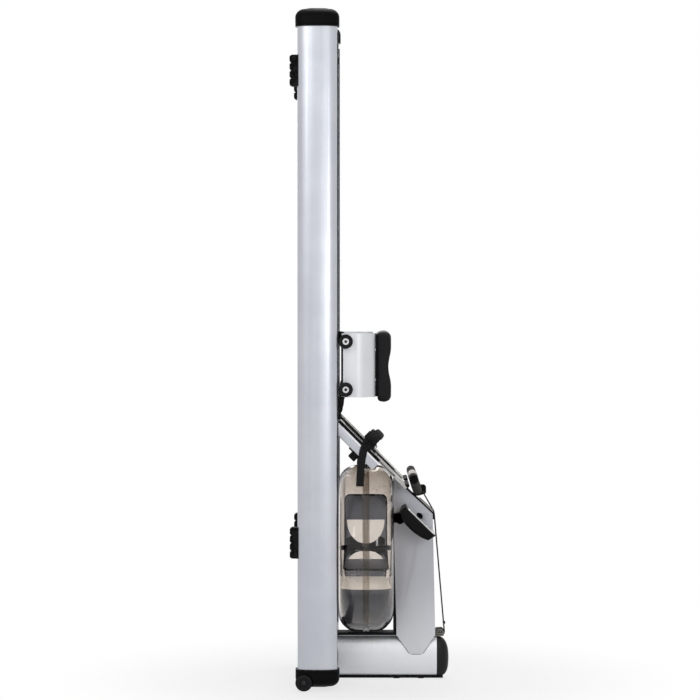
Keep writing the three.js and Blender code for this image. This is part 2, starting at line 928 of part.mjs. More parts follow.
const lidSheet = shapeOf([
  [lidX(deckCornerZ), deckCornerZ - coverThickness],
  [lidX(lidEndZ), lidEndZ],
  [lidX(lidEndZ) + coverThickness, lidEndZ],
  [lidX(lipEndZ) + coverThickness, lipEndZ],
  [noseX + noseRadius - coverThickness, lipEndZ],
  [noseX + noseRadius - coverThickness, deckCornerZ - coverThickness],
]);
addPiece(
  "deck_cover",
  joined(
    acrossY(noseSheet, -panelOuter, panelOuter),
    acrossY(lidSheet, -panelInner + gap, panelInner - gap),
  ),
  black,
);

// Belt guide: a shallow channel on the sloping sheet
const guideLow = 2 * gap + coverThickness;
const guideSection = (from, to, out) =>
  shapeOf([
    onDeck(from, guideLow),
    onDeck(to, guideLow),
    onDeck(to - out, guideLow + out),
    onDeck(from + out, guideLow + out),
  ]);
const guideParts = [
  acrossY(guideSection(guideStart, guideEnd, guideBase),
    -guideWidth / 2, guideWidth / 2),
  ...sides.map(([, side]) => {
    const edge = side * (guideWidth / 2);
    const inner = side * (guideWidth / 2 - guideRim);
    const rim = guideSection(guideStart, guideEnd, guideRimRise);
    return acrossY(rim, Math.min(edge, inner), Math.max(edge, inner));
  }),
];
addPiece("belt_guide", joined(...guideParts), silver);

// Monitor arm, case and buttons
const arm = turnedAlongY(
  rod(armRadius, -panelOuter - armLength, panelInner - gap), armSides,
).translate(armX, 0, armZ);
addPiece("monitor_arm", arm, black);

// Local frame of the monitor: along its face and out of it
const diagonal = Math.SQRT1_2;
const onMonitor = (along, out) => [
  monitorLeft + (along + out) * diagonal,
  monitorTop + (out - along) * diagonal,
];
const caseOutline = shapeOf(
  monitorProfileShares.map(([along, depth]) =>
    onMonitor(along * monitorHeight, -depth * monitorDepth),
  ),
);
const caseBody = acrossY(
  caseOutline,
  monitorY - monitorWidth / 2 + monitorBevel,
  monitorY + monitorWidth / 2 - monitorBevel,
  { bevelEnabled: true, bevelThickness: monitorBevel, bevelSize: monitorBevel / 2,
    bevelOffset: -monitorBevel / 2, bevelSegments: 2 },
);
const collarTool = turnedAlongY(
  rod(boreFor(armRadius, armSides), monitorY - monitorWidth, monitorY + monitorWidth), armSides,
).translate(armX, 0, armZ);
const collar = turnedAlongY(
  rod(armRadius + collarWall, monitorY - collarWidth / 2, monitorY + collarWidth / 2), armSides,
).translate(armX, 0, armZ);

// Stands a piece turned about Z on the monitor's face
function onFace(geometry, along, across) {
  const [x, z] = onMonitor(along, 0);
  return geometry.rotateY(slopeTurn).translate(x, across, z);
}
const faceDrop = monitorProfileShares[0][1] * monitorDepth;
const buttonNames = ["left", "middle", "right"];
const buttonPlaces = buttonNames.map((name, i) => monitorY + (i - 1) * buttonPitch);
const pockets = buttonPlaces.map((y) =>
  onFace(
    turned(
      rod(buttonRadius + gap, -faceDrop - buttonDepth - buttonTravel - gap, overrun),
      buttonSides,
    ),
    buttonPlace,
    y,
  ),
);
const monitorCase = without(toSolid(caseBody).add(toSolid(collar)), collarTool, ...pockets);
addPiece("monitor_case", monitorCase, black);
buttonNames.forEach((name, i) => {
  const cap = turned(
    rod(buttonRadius, -faceDrop - buttonDepth, -faceDrop + buttonRise), buttonSides);
  addPiece("monitor_button_" + name, onFace(cap, buttonPlace, buttonPlaces[i]), rubber);
});

// Foot boards on their struts, in the sloping frame: +X down the slope, +Z out of it
const slope = new THREE.Group();
slope.position.set(railFace, 0, slopeTop);
slope.rotation.y = slopeTurn;
machine.add(slope);

function spanY(side, near, far) {
  return [Math.min(side * near, side * far), Math.max(side * near, side * far)];
}

const boardTop = gap + boardThickness;
const sliderLow = boardTop + gap;
const sliderTop = sliderLow + sliderThickness;
for (const [name, side] of sides) {
  const [strutA, strutB] = spanY(side, strutOuter - strutSize, strutOuter);
  addPiece(
    "foot_strut_" + name,
    block([strutStart, strutA, -strutSize], [strutEnd, strutB, 0]),
    silver,
    slope,
  );

  const [boardA, boardB] = spanY(side, boardInner, boardOuter);
  addPiece(
    "foot_board_" + name,
    block([boardStart, boardA, gap], [boardEnd, boardB, boardTop]),
    black,
    slope,
  );

  const [sliderA, sliderB] = spanY(side, boardInner + sliderMargin, boardOuter - sliderMargin);
  const plate = block([sliderStart, sliderA, sliderLow], [sliderEnd, sliderB, sliderTop]);
  const lip = acrossY(
    shapeOf([
      [sliderEnd - sliderThickness, sliderLow],
      [sliderEnd + lipLength - sliderThickness, sliderLow],
      [sliderEnd + lipLength, sliderTop],
      [sliderEnd + lipLength, sliderTop + lipRise - gap],
      [sliderEnd + lipLength - lipRise, sliderTop + lipRise],
      [sliderEnd, sliderTop + lipRise],
      [sliderEnd - sliderThickness, sliderTop],
    ]),
    sliderA,
    sliderB,
  );
  const notches = [];
  for (let i = 0; i < notchCount; i++) {
    const start = notchStart + i * notchPitch;
    for (const [from, to] of [
      [sliderA - overrun, sliderA + notchDepth],
      [sliderB - notchDepth, sliderB + overrun],
    ]) {
      notches.push(
        block([start, from, sliderLow - overrun], [start + notchWidth, to, sliderTop + overrun]),
      );
    }
  }
  addPiece("heel_rest_" + name, without(joined(plate, lip), ...notches), lightGrey, slope);
}

const crossBar = block(
  [crossBarPlace - crossBarWidth / 2, -strutOuter, -strutSize - gap - crossBarRise],
  [crossBarPlace + crossBarWidth / 2, strutOuter, -strutSize - gap],
);
addPiece("foot_cross_bar", crossBar, black, slope);

// Foot straps: an arch over each board and a tail that hangs down outside it
function strapArch(side) {
  const inner = boardInner - gap - strapThickness / 2;
  const outer = boardOuter + gap + strapThickness / 2;
  const middle = (inner + outer) / 2;
  const reach = (outer - inner) / 2;
  const at = (y, z) => new THREE.Vector3(strapPlace, side * y, z);
  const stations = [at(inner, strapFoot)];
  for (let i = 0; i <= strapSteps; i++) {
    const angle = (i / strapSteps) * Math.PI;
    const lean = Math.sign(Math.cos(angle)) * Math.pow(Math.abs(Math.cos(angle)), archShare);
    const rise = Math.pow(Math.abs(Math.sin(angle)), archShare);
    stations.push(at(middle - reach * lean, boardTop + (strapHeight - boardTop) * rise));
  }
  stations.push(at(outer, strapFoot));
  const across = new THREE.Vector3(1, 0, 0);
  const last = stations.length - 1;
  return stations.map((centre, i) => {
    const before = stations[Math.max(i - 1, 0)];
    const after = stations[Math.min(i + 1, last)];
    const run = after.clone().sub(before).normalize();
    if (i <= 1 || i >= last - 1) {
      run.set(0, 0, i <= 1 ? 1 : -1);
    }
    return [centre, across, run.clone().cross(across)];
  });
}

function strapTail(side) {
  const y = side * (boardOuter + gap + (3 * strapThickness) / 2 - runningFit);
  const curve = new THREE.CatmullRomCurve3(tailWay.map(([x, z]) => new THREE.Vector3(x, y, z)));
  const points = curve.getPoints(tailSteps);
  return points.map((point, i) => {
    const run = curve.getTangent(i / tailSteps);
    const across = new THREE.Vector3(run.z, 0, -run.x);
    return [point, across, run.clone().cross(across)];
  });
}
for (const [name, side] of sides) {
  const arch = ribbon(strapArch(side), strapWidth, strapThickness);
  const tail = ribbon(strapTail(side), strapWidth, strapThickness);
  addPiece("foot_strap_" + name, solidFacingOut(arch).add(solidFacingOut(tail)), webbing, slope);
}

// Seat: a bent sheet carriage on four wheels, a tray and a cushion
const seatWheelX = trackTop + gap + seatWheelRadius;
const seatTop = seatBottom + seatLength;
const seatMiddle = (seatBottom + seatTop) / 2;

function carriageOutline() {
  const outerBend = carriageBend;
  const innerBend = carriageBend - carriageSheet;
  const bendX = carriageHigh - carriageBend;
  const bendY = carriageSide - carriageBend;
  const rightOuter = arcPairs(bendX, bendY, outerBend, Math.PI / 2, 0, bendSteps);
  const rightInner = arcPairs(bendX, bendY, innerBend, 0, Math.PI / 2, bendSteps);
  const mirror = (pairs) => pairs.map(([a, b]) => [a, -b]).reverse();
  return shapeOf([
    [carriageLow, carriageSide],
    ...rightOuter,
    ...mirror(rightOuter),
    [carriageLow, -carriageSide],
    [carriageLow, -carriageSide + carriageSheet],
    ...mirror(rightInner),
    ...rightInner,
    [carriageLow, carriageSide - carriageSheet],
  ]);
}

const carriageParts = [toSolid(upZ(carriageOutline(), seatBottom, seatTop))];
for (const [, side] of sides) {
  const hookOuter = carriageSide - carriageSheet;
  const [hookA, hookB] = spanY(side, hookOuter - hookWidth, hookOuter + carriageSheet / 2);
  const hook = acrossY(
    shapeOf([
      [carriageLow + carriageSheet, hookBottom - hookSweep],
      [carriageLow + carriageSheet, seatTop - gap],
      [hookLow + hookSweep, hookTop],
      [hookLow, hookTop],
      [hookLow, hookBottom + hookSweep],
      [carriageLow, hookBottom],
    ]),
    hookA,
    hookB,
  );
  carriageParts.push(toSolid(hook));
  for (const lift of [0, seatWheelBase]) {
    const axle = turnedAlongY(
      rod(
        seatWheelAxle,
        side * (carriageSide - carriageSheet / 2),
        side * (railY + seatWheelWidth / 2 - hubDepth),
      ),
      seatWheelSides,
    ).translate(seatWheelX, 0, seatWheelLowZ + lift);
    carriageParts.push(solidFacingOut(axle));
  }
}
addPiece("seat_carriage", carriageParts.reduce((whole, next) => whole.add(next)), silver);

for (const [name, side] of sides) {
  for (const [end, lift] of [["front", 0], ["rear", seatWheelBase]]) {
    const wheel = turnedAlongY(
      wheelProfile(seatWheelRadius, seatWheelWidth, seatWheelAxle, seatWheelSides),
      seatWheelSides,
    );
    if (side < 0) {
      wheel.rotateX(Math.PI);
    }
    wheel.translate(seatWheelX, side * (railY - seatWheelWidth / 2), seatWheelLowZ + lift);
    addPiece("seat_wheel_" + end + "_" + name, wheel, black);
  }
}

const trayLow = carriageHigh + gap;
const tray = block(
  [trayLow, -trayWidth / 2, seatBottom - trayMargin / 2],
  [trayLow + trayThickness, trayWidth / 2, seatTop - trayMargin / 2],
);
addPiece("seat_tray", tray, black);

// Cushion: sections across the seat, each with two crowns and a dip, drawn in at both ends
function cushionSection(y, share) {
  const half = (cushionLength / 2) * (1 - (1 - share) * cushionTaperShare);
  const rise = cushionRise * (cushionEdgeShare + (1 - cushionEdgeShare) * share);
  const base = trayLow + trayThickness + gap;
  const points = [];
  for (let i = 0; i < cushionPoints; i++) {
    const along = -1 + (2 * i) / (cushionPoints - 1);
    const z = along * (half - cushionRound / 2);
    const dip = Math.max(0, Math.cos((Math.PI / 2) * Math.min(1, Math.abs(z) / dipHalf)));
    const edge = Math.pow(Math.abs(along), cushionEdgePower) * cushionRound;
    points.push([base + rise - cushionDip * share * dip * dip - edge, z]);
  }
  const pulled = cushionRound / 3;
  points.push([base + rise / 2, half]);
  points.push([base + pulled, half - pulled]);
  points.push([base, half - cushionRound]);
  points.push([base, -half + cushionRound]);
  points.push([base + pulled, -half + pulled]);
  points.push([base + rise / 2, -half]);
  return points.map(([x, z]) => new THREE.Vector3(x, y, seatMiddle - cushionDrop + z));
}
const cushionRings = [];
for (let i = 0; i <= cushionStations; i++) {
  const angle = (i / cushionStations) * Math.PI;
  const share = Math.pow(Math.sin(angle), cushionEndShare);
  cushionRings.push(cushionSection((-cushionWidth / 2) * Math.cos(angle), share));
}
addPiece("seat_cushion", solidFacingOut(skinned(cushionRings)), hide);

// Seat stops: wedges on the tracks, just below the front wheels
const stopTop = seatWheelLowZ - seatWheelRadius;
for (const [name, side] of sides) {
  const low = trackTop + gap;
  const outline = shapeOf([
    [low, stopTop],
    [low, stopTop - stopLength],
    [low + stopToe, stopTop - stopLength],
    [low + stopToe + gap, stopTop - stopLength + stopHeelLength],
    [low + stopHeight - gap, stopTop - stopHeelLength],
    [low + stopHeight, stopTop],
  ]);
  const [a, b] = spanY(side, railY - seatWheelWidth / 2, railY + seatWheelWidth / 2);
  addPiece("seat_stop_" + name, acrossY(outline, a, b), black);
}

// Handle: two swept grips on a yoke
const [handleX, handleZ] = onDeck(handleAlong, handleOut);
for (const [name, side] of sides) {
  const root = new THREE.Vector3(handleX, side * handleInner, handleZ);
  const tip = new THREE.Vector3(
    handleX + gripSweepX, side * handleHalf, handleZ + gripSweepZ);
  const length = root.distanceTo(tip);
  const roundEnd = arcPairs(0, length - gripRadius, gripRadius, 0, Math.PI / 2, gripRoundSteps);
  roundEnd[gripRoundSteps][0] = 0;
  const grip = turned([[0, 0], [gripRadius, 0], ...roundEnd], gripSides);
  const turn = new THREE.Quaternion().setFromUnitVectors(
    new THREE.Vector3(0, 0, 1), tip.clone().sub(root).normalize());
  grip.applyQuaternion(turn).translate(root.x, root.y, root.z);
  addPiece("grip_" + name, grip, foam);
}
const yokeOutline = new THREE.Shape();
const yokeMouth = Math.PI * yokeMouthShare;
yokeOutline.absarc(handleX, handleZ, gripRadius - gap, yokeMouth, 2 * Math.PI - yokeMouth, false);
yokeOutline.lineTo(handleX + yokeReach - yokeRound, handleZ - gripRadius + yokeRound);
yokeOutline.lineTo(handleX + yokeReach, handleZ - yokeRound);
yokeOutline.lineTo(handleX + yokeReach, handleZ + gripRadius);
yokeOutline.lineTo(handleX + yokeReach - yokeRound, handleZ + gripRadius + yokeRound);
yokeOutline.lineTo(handleX + gripRadius - yokeRound, handleZ + gripRadius + yokeRound);
const yokeHalf = yokeWidth / 2 - overrun;
addPiece("handle_yoke", acrossY(yokeOutline, -yokeHalf, yokeHalf), black);

// Belt from the nose down to the front pulley, round it, and up to the drum with a quarter twist
const beltMiddle = gap + beltThickness / 2;
const beltTurn = pulleyCore + beltMiddle;
const beltTopX = noseX + noseRadius + beltMiddle;
const across = new THREE.Vector3(0, 1, 0);

function station(x, z, angle) {
  const face = new THREE.Vector3(Math.cos(angle), 0, Math.sin(angle));
  return [new THREE.Vector3(x, 0, z), across, face];
}
const downTilt = Math.atan2(pulleyX + beltTurn - beltTopX, noseZ - pulleyZ);
const beltStations = [station(beltTopX, noseZ, downTilt)];
for (let i = 0; i <= wrapSteps; i++) {
  const angle = downTilt - (i / wrapSteps) * (Math.PI + downTilt);
  beltStations.push(
    station(pulleyX + beltTurn * Math.cos(angle), pulleyZ + beltTurn * Math.sin(angle), angle),
  );
}
const drumSideY = drumCore + beltMiddle;
const drumMiddle = drumX + drumWidth / 2;
const drumEntry = new THREE.Vector3(drumMiddle, drumSideY, tankZ - drumFlange - beltWidth);
const wrapEnd = beltStations[beltStations.length - 1][0];
for (let i = 1; i <= riserSteps; i++) {
  const share = i / riserSteps;
  const centre = wrapEnd.clone().lerp(drumEntry, share);
  const twist = (share * Math.PI) / 2;
  const turnedAcross = new THREE.Vector3(-Math.sin(twist), Math.cos(twist), 0);
  const face = new THREE.Vector3(-Math.cos(twist), -Math.sin(twist), 0);
  beltStations.push([centre, turnedAcross, face]);
}
beltStations.push([
  new THREE.Vector3(drumMiddle, drumSideY, tankZ),
  new THREE.Vector3(-1, 0, 0),
  new THREE.Vector3(0, -1, 0),
]);
addPiece("belt_loop", solidFacingOut(ribbon(beltStations, beltWidth, beltThickness)), webbing);

// Belt from the yoke over the sloping guide to the nose
const guideBelt = guideLow + guideBase + beltMiddle;
const runStart = [
  handleX + yokeReach - yokeRound,
  handleZ - gripRadius + yokeRound - 2 * gap - beltThickness / 2,
];
const runEnd = new THREE.Vector3(beltTopX, 0, noseZ + gap);
const runBend = onDeck(guideEnd, guideBelt);
const runFace = new THREE.Vector3(slopeOut.x, 0, slopeOut.y);
const beltRun = ribbon(
  [
    [new THREE.Vector3(runStart[0], 0, runStart[1]), across, runFace],
    [new THREE.Vector3(runBend[0], 0, runBend[1]), across, runFace],
    [runEnd, across, new THREE.Vector3(1, 0, 0)],
  ],
  beltWidth - 2 * gap,
  beltThickness,
);
addPiece("belt_run", solidFacingOut(beltRun), webbing);

// Front pulley and its bracket on the column's end
const pulleyHalf = beltWidth / 2 + gap;
const pulley = turnedAlongY(
  [
    [boreFor(pulleyAxle, pulleySides), -pulleyHalf - flangeThickness],
    [pulleyFlange, -pulleyHalf - flangeThickness],
    [pulleyFlange, -pulleyHalf],
    [pulleyCore, -pulleyHalf],
    [pulleyCore, pulleyHalf],
    [pulleyFlange, pulleyHalf],
    [pulleyFlange, pulleyHalf + flangeThickness],
    [boreFor(pulleyAxle, pulleySides), pulleyHalf + flangeThickness],
    [boreFor(pulleyAxle, pulleySides), -pulleyHalf - flangeThickness],
  ],
  pulleySides,
).translate(pulleyX, 0, pulleyZ);
addPiece("front_pulley", pulley, panelGrey);

const earInner = pulleyHalf + flangeThickness + gap;
const earOuter = earInner + bracketEar;
const bracketLow = columnTop + gap;
const earOutline = shapeOf([
  [bracketBase, bracketLow],
  [columnEnd, bracketLow],
  ...arcPairs(pulleyX, pulleyZ, bracketEye, -Math.PI / 2, Math.PI / 2, noseSteps),
  [columnEnd, pulleyZ + bracketEye],
  [bracketBase, bracketLow + bracketRise],
]);
const bracketParts = sides.map(([, side]) => {
  const [a, b] = spanY(side, earInner, earOuter);
  return toSolid(acrossY(earOutline, a, b));
});
bracketParts.push(
  toSolid(block([bracketBase, -earOuter, bracketLow],
    [pulleyX - pulleyFlange - gap, earOuter, bracketLow + bracketRise])),
  toSolid(turnedAlongY(rod(pulleyAxle, -earOuter + gap, earOuter - gap), pulleySides)
    .translate(pulleyX, 0, pulleyZ)),
);
addPiece("pulley_bracket", bracketParts.reduce((whole, next) => whole.add(next)), black);

// Centred on the origin, between the feet's crests and the column cap's end
const machineBack = railBack - footRise;
const machineFront = columnEnd + gap + columnCapRise;
machine.position.x = -(machineBack + machineFront) / 2;

export default machine;
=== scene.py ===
# %% [markdown]
# A water rowing machine, stood up on its front end for storage.
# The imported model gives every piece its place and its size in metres, and this script gives
# each piece its fine shape and its finish. The rower's right side faces the camera.
# Lengths are written in millimetres here and are turned into metres where a mesh is made.

import json
import math

import bmesh
import bpy
from mathutils import Matrix, Vector


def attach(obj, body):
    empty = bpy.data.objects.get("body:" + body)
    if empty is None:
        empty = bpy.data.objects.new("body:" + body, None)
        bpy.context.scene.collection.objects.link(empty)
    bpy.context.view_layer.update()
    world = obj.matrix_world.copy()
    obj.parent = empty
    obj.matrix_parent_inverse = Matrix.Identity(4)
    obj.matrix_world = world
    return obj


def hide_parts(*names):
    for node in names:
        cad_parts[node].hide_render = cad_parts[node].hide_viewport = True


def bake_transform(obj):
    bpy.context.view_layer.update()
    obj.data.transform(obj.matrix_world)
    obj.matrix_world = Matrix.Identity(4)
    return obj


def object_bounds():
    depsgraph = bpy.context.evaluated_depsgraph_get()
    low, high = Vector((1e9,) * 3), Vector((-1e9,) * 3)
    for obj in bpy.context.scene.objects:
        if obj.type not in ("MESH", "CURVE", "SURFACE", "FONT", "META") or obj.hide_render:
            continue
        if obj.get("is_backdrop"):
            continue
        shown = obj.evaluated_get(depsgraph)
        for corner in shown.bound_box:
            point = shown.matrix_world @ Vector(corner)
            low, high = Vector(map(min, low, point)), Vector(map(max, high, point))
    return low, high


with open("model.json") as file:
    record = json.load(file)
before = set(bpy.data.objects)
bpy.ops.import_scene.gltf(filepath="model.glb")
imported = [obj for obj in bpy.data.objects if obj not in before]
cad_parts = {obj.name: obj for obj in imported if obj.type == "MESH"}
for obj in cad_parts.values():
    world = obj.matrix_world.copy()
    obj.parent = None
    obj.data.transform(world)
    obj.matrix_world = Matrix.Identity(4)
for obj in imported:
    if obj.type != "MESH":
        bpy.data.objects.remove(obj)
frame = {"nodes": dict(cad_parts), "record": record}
cad_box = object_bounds()
MM = 0.001
bodies = frame["record"]["behaviour"]["bodies"]
body_of = {node: body for body, nodes in bodies.items() for node in nodes}
sides = (("right", -1), ("left", 1))
print(len(body_of), "nodes in", len(bodies), "bodies; box", cad_box)

# %% [markdown]
# The photograph was taken from the side, a little above the middle of the machine, with a
# long lens. A long lens from far away keeps the rails nearly parallel. A closer camera with a
# wide lens would fill the frame too, but the rails would lean inwards.

# %% Camera
camera_data = bpy.data.cameras.new("camera")
camera_data.lens = 125
camera_data.clip_end = 60


def put_in_scene(obj, place=(0, 0, 0), target=None):
    """Links an object, and turns its -Z way to a target when there is one."""
    bpy.context.scene.collection.objects.link(obj)
    obj.location = place
    if target:
        away = Vector(target) - Vector(place)
        obj.rotation_euler = away.to_track_quat("-Z", "Y").to_euler()
    return obj


camera = put_in_scene(bpy.data.objects.new("camera", camera_data),
                      Vector((-33.5, -7815, 1217)) * MM, Vector((-65.7, 0, 1056)) * MM)
bpy.context.scene.camera = camera
print("camera", tuple(round(value, 3) for value in camera.location))

# %% [markdown]
# Every shader below is a handful of nodes. These helpers add one node each, and take plain
# values and the sockets of other nodes alike.

# %% Node helpers
SMOOTH = {"interpolation_type": "SMOOTHSTEP"}


def feed(tree, socket, value):
    """Links a socket to another node's socket, or gives it a plain value."""
    if isinstance(value, bpy.types.NodeSocket):
        tree.links.new(value, socket)
    else:
        socket.default_value = value


def add_node(tree, kind, settings=(), **inputs):
    """A shader node with its settings and inputs; an underscore stands for a blank."""
    node = tree.nodes.new("ShaderNode" + kind)
    for label, value in dict(settings).items():
        setattr(node, label, value)
    for label, value in inputs.items():
        feed(tree, node.inputs[label.replace("_", " ")], value)
    return node


def math_in(tree, operation, *values):
    node = add_node(tree, "Math", {"operation": operation})
    for socket, value in zip(node.inputs, values):
        feed(tree, socket, value)
    return node.outputs[0]


def mixed_shader(tree, factor, first, second):
    """Two shader nodes mixed by a factor."""
    node = add_node(tree, "MixShader")
    for socket, value in zip(node.inputs, (factor, first.outputs[0], second.outputs[0])):
        feed(tree, socket, value)
    return node.outputs[0]


def object_place(tree):
    return add_node(tree, "TexCoord").outputs["Object"]


def object_height(tree):
    return add_node(tree, "SeparateXYZ", Vector=object_place(tree)).outputs["Z"]


def noise_in(tree, vector, scale, detail):
    return add_node(tree, "TexNoise", Vector=vector, Scale=scale, Detail=detail,
                    Roughness=0.55).outputs["Fac"]


def ramp_in(tree, value, low, high):
    """Maps low..high to 0..1, smoothly."""
    return add_node(tree, "MapRange", SMOOTH, Value=value, From_Min=low,
                    From_Max=high).outputs["Result"]


def seen_ray(tree, *rays):
    """1 for a ray of one of the named kinds, such as Camera."""
    path = add_node(tree, "LightPath").outputs
    seen = path[f"Is {rays[0]} Ray"]
    for ray in rays[1:]:
        seen = math_in(tree, "MAXIMUM", seen, path[f"Is {ray} Ray"])
    return seen


print("node helpers ready")

# %% [markdown]
# A studio shot has a large soft box on each side and white all round. Soft light could come
# from a bright world alone, but then a rounded rail looks flat. Here the world is plain and
# dim, and four area lights shape the rails. Rays from the camera, reflections and rays through
# the tank see white, because that is what the studio's walls are.

# %% World and lights
world = bpy.data.worlds.new("studio")
bpy.context.scene.world = world
world.use_nodes = True
tree = world.node_tree
tree.nodes.clear()
dim, white = (add_node(tree, "Background", Color=(1, 1, 1, 1), Strength=strength)
              for strength in (0.4, 1.0))
seen = seen_ray(tree, "Camera", "Glossy", "Transmission")
add_node(tree, "OutputWorld", Surface=mixed_shader(tree, seen, dim, white))

for name, place, aim, size, power in (
        ("key_light", (1.1, -4.6, 1.5), (0, 0, 1.2), 0.8, 20),
        ("left_light", (-1.75, -4.4, 2.8), (0, 0, 1.8), 1.3, 26),
        ("top_light", (0.3, 0.9, 4.4), (0, 0, 1.0), 1.8, 38),
        ("back_light", (-0.6, 3.6, 2.6), (0, 0, 1.0), 2.4, 40)):
    lamp = bpy.data.lights.new(name, "AREA")
    lamp.shape = "RECTANGLE"
    lamp.size = lamp.size_y = size
    lamp.energy = power
    put_in_scene(bpy.data.objects.new(name, lamp), place, aim)
print("four soft boxes")

# %% [markdown]
# The floor is pale and nearly white, as in the photograph. Part of what the camera sees of it
# is plain white, and the rest is lit, so that the machine's shadow stays on it.

# %% Floor
floor_mesh = bpy.data.meshes.new("floor")
floor_mesh.from_pydata([(-9, -9, 0), (9, -9, 0), (9, 9, 0), (-9, 9, 0)], [], [(0, 1, 2, 3)])
floor = put_in_scene(bpy.data.objects.new("floor", floor_mesh))
floor_material = bpy.data.materials.new("pale_floor")
floor_material.use_nodes = True
tree = floor_material.node_tree
tree.nodes.clear()
lit = add_node(tree, "BsdfDiffuse", Color=(0.9, 0.9, 0.9, 1))
glow = add_node(tree, "Emission", Color=(1, 1, 1, 1))
reach = add_node(tree, "VectorMath", {"operation": "LENGTH"}, Vector=object_place(tree))
fade = add_node(tree, "MapRange", SMOOTH, Value=reach.outputs["Value"], From_Min=0.35,
                From_Max=1.1, To_Min=0.72, To_Max=1.0)
share = math_in(tree, "MULTIPLY", seen_ray(tree, "Camera", "Glossy"), fade.outputs["Result"])
add_node(tree, "OutputMaterial", Surface=mixed_shader(tree, share, lit, glow))
floor_mesh.materials.append(floor_material)
floor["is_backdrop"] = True
print("floor 18 m square")

# %% [markdown]
# Surface effects that several finishes share are node groups. Each group puts out heights and
# masks only, and the shader itself stays in each material. All of them read object
# coordinates, so the pattern rides with the piece and needs no unwrapping.

# %% Shared surface effects


def new_group(name, **inputs):
    """An empty shader group with float inputs, and the sockets that carry them inside."""
    group = bpy.data.node_groups.new(name, "ShaderNodeTree")
    for label, value in inputs.items():
        group.interface.new_socket(label.replace("_", " "), in_out="INPUT",
                                   socket_type="NodeSocketFloat").default_value = value
    return group, group.nodes.new("NodeGroupInput").outputs


def put_out(group, **results):
    """Gives a group its float outputs."""
    for label in results:
        group.interface.new_socket(label, in_out="OUTPUT", socket_type="NodeSocketFloat")
    leave = group.nodes.new("NodeGroupOutput")
    for label, value in results.items():
        feed(group, leave.inputs[label], value)
    return group


def stretched(group, *scale):
    """Object coordinates, stretched by a plain scale."""
    return add_node(group, "Mapping", Vector=object_place(group), Scale=scale).outputs["Vector"]


def build_grain():
    """Fine moulded or blasted grain: a height, and a slow cloud for smudges."""
    group, enter = new_group("fine_grain", Scale=900.0, Cloud_Scale=9.0)
    vector = stretched(group, 1, 1, 1)
    cloud = noise_in(group, vector, enter["Cloud Scale"], 4.0)
    return put_out(group, Height=noise_in(group, vector, enter["Scale"], 2.0),
                   Cloud=ramp_in(group, cloud, 0.35, 0.68))


def build_drawn():
    """Draw lines along an extrusion, from noise stretched along Z."""
    group, enter = new_group("drawn_lines", Scale=1400.0)
    vector = stretched(group, 1, 1, 0.006)
    wide = noise_in(group, vector, 120.0, 2.0)
    return put_out(group, Height=noise_in(group, vector, enter["Scale"], 3.0),
                   Streak=ramp_in(group, wide, 0.3, 0.7))


def build_wear():
    """Rubbed edges: where the surface turns outwards, broken up by noise."""
    group, enter = new_group("edge_wear", Reach=0.53)
    shape = add_node(group, "NewGeometry").outputs["Pointiness"]
    breaks = noise_in(group, stretched(group, 1, 1, 1), 160.0, 4.0)
    rim = math_in(group, "MULTIPLY", math_in(group, "SUBTRACT", shape, enter["Reach"]), 14.0)
    mask = math_in(group, "MULTIPLY", rim, ramp_in(group, breaks, 0.42, 0.62))
    return put_out(group, Mask=add_node(group, "Clamp", Value=mask).outputs[0])


def build_weave():
    """Webbing: two sets of threads that cross."""
    group, enter = new_group("webbing_weave", Scale=420.0)
    vector = stretched(group, 1, 1, 1)
    waves = [add_node(group, "TexWave", {"bands_direction": direction}, Distortion=0.6,
                      Detail=1.0, Vector=vector, Scale=enter["Scale"]).outputs["Fac"]
             for direction in "XYZ"]
    crossed = math_in(group, "MULTIPLY", math_in(group, "ADD", waves[0], waves[2]), waves[1])
    return put_out(group, Height=crossed, Thread=ramp_in(group, crossed, 0.2, 1.3))


def build_cells():
    """Closed cells or hide pebbles: rounded bumps from a Voronoi pattern."""
    group, enter = new_group("small_cells", Scale=700.0)
    vector = stretched(group, 1, 1, 1)
    near = add_node(group, "TexVoronoi", Vector=vector, Scale=enter["Scale"])
    return put_out(group, Height=ramp_in(group, near.outputs["Distance"], 0.0, 0.6),
                   Tone=noise_in(group, vector, 40.0, 4.0))


def build_droplets():
    """Water drops inside the tank: sparse domes above the water line."""
    group, enter = new_group("droplets", Scale=95.0, Water_Line=0.335)
    vector = stretched(group, 1, 1, 1)
    drops = add_node(group, "TexVoronoi", Randomness=1.0, Vector=vector, Scale=enter["Scale"])
    dome = ramp_in(group, drops.outputs["Distance"], 0.26, 0.02)
    patch = ramp_in(group, noise_in(group, vector, 11.0, 3.0), 0.5, 0.62)
    above = math_in(group, "GREATER_THAN", object_height(group), enter["Water Line"])
    mask = math_in(group, "MULTIPLY", math_in(group, "MULTIPLY", dome, patch), above)
    return put_out(group, Height=mask, Mask=mask)


grain, drawn, wear = build_grain(), build_drawn(), build_wear()
weave, cells, droplets = build_weave(), build_cells(), build_droplets()
print("groups:", sorted(tree.name for tree in bpy.data.node_groups))

# %% [markdown]
# Every finish starts from one Principled shader. Two near colours mixed by a slow cloud keep a
# surface from looking like flat paint, and a fine bump gives it its grain.

# %% Material helpers


def srgb(*values):
    """Screen colours from 0 to 255, as linear values."""
    shares = [value / 255 for value in values]
    return tuple(s / 12.92 if s <= 0.04045 else ((s + 0.055) / 1.055) ** 2.4 for s in shares)


def principled(material):
    return material.node_tree.nodes["Principled BSDF"]


def new_material(name, roughness, metallic=0.0, **inputs):
    material = bpy.data.materials.new(name)
    material.use_nodes = True
    set_inputs(material, Roughness=roughness, Metallic=metallic, **inputs)
    return material


def set_inputs(material, **inputs):
    """Sets inputs of the material's shader, each to a value or to another node's socket."""
    for label, value in inputs.items():
        feed(material.node_tree, principled(material).inputs[label.replace("_", " ")], value)


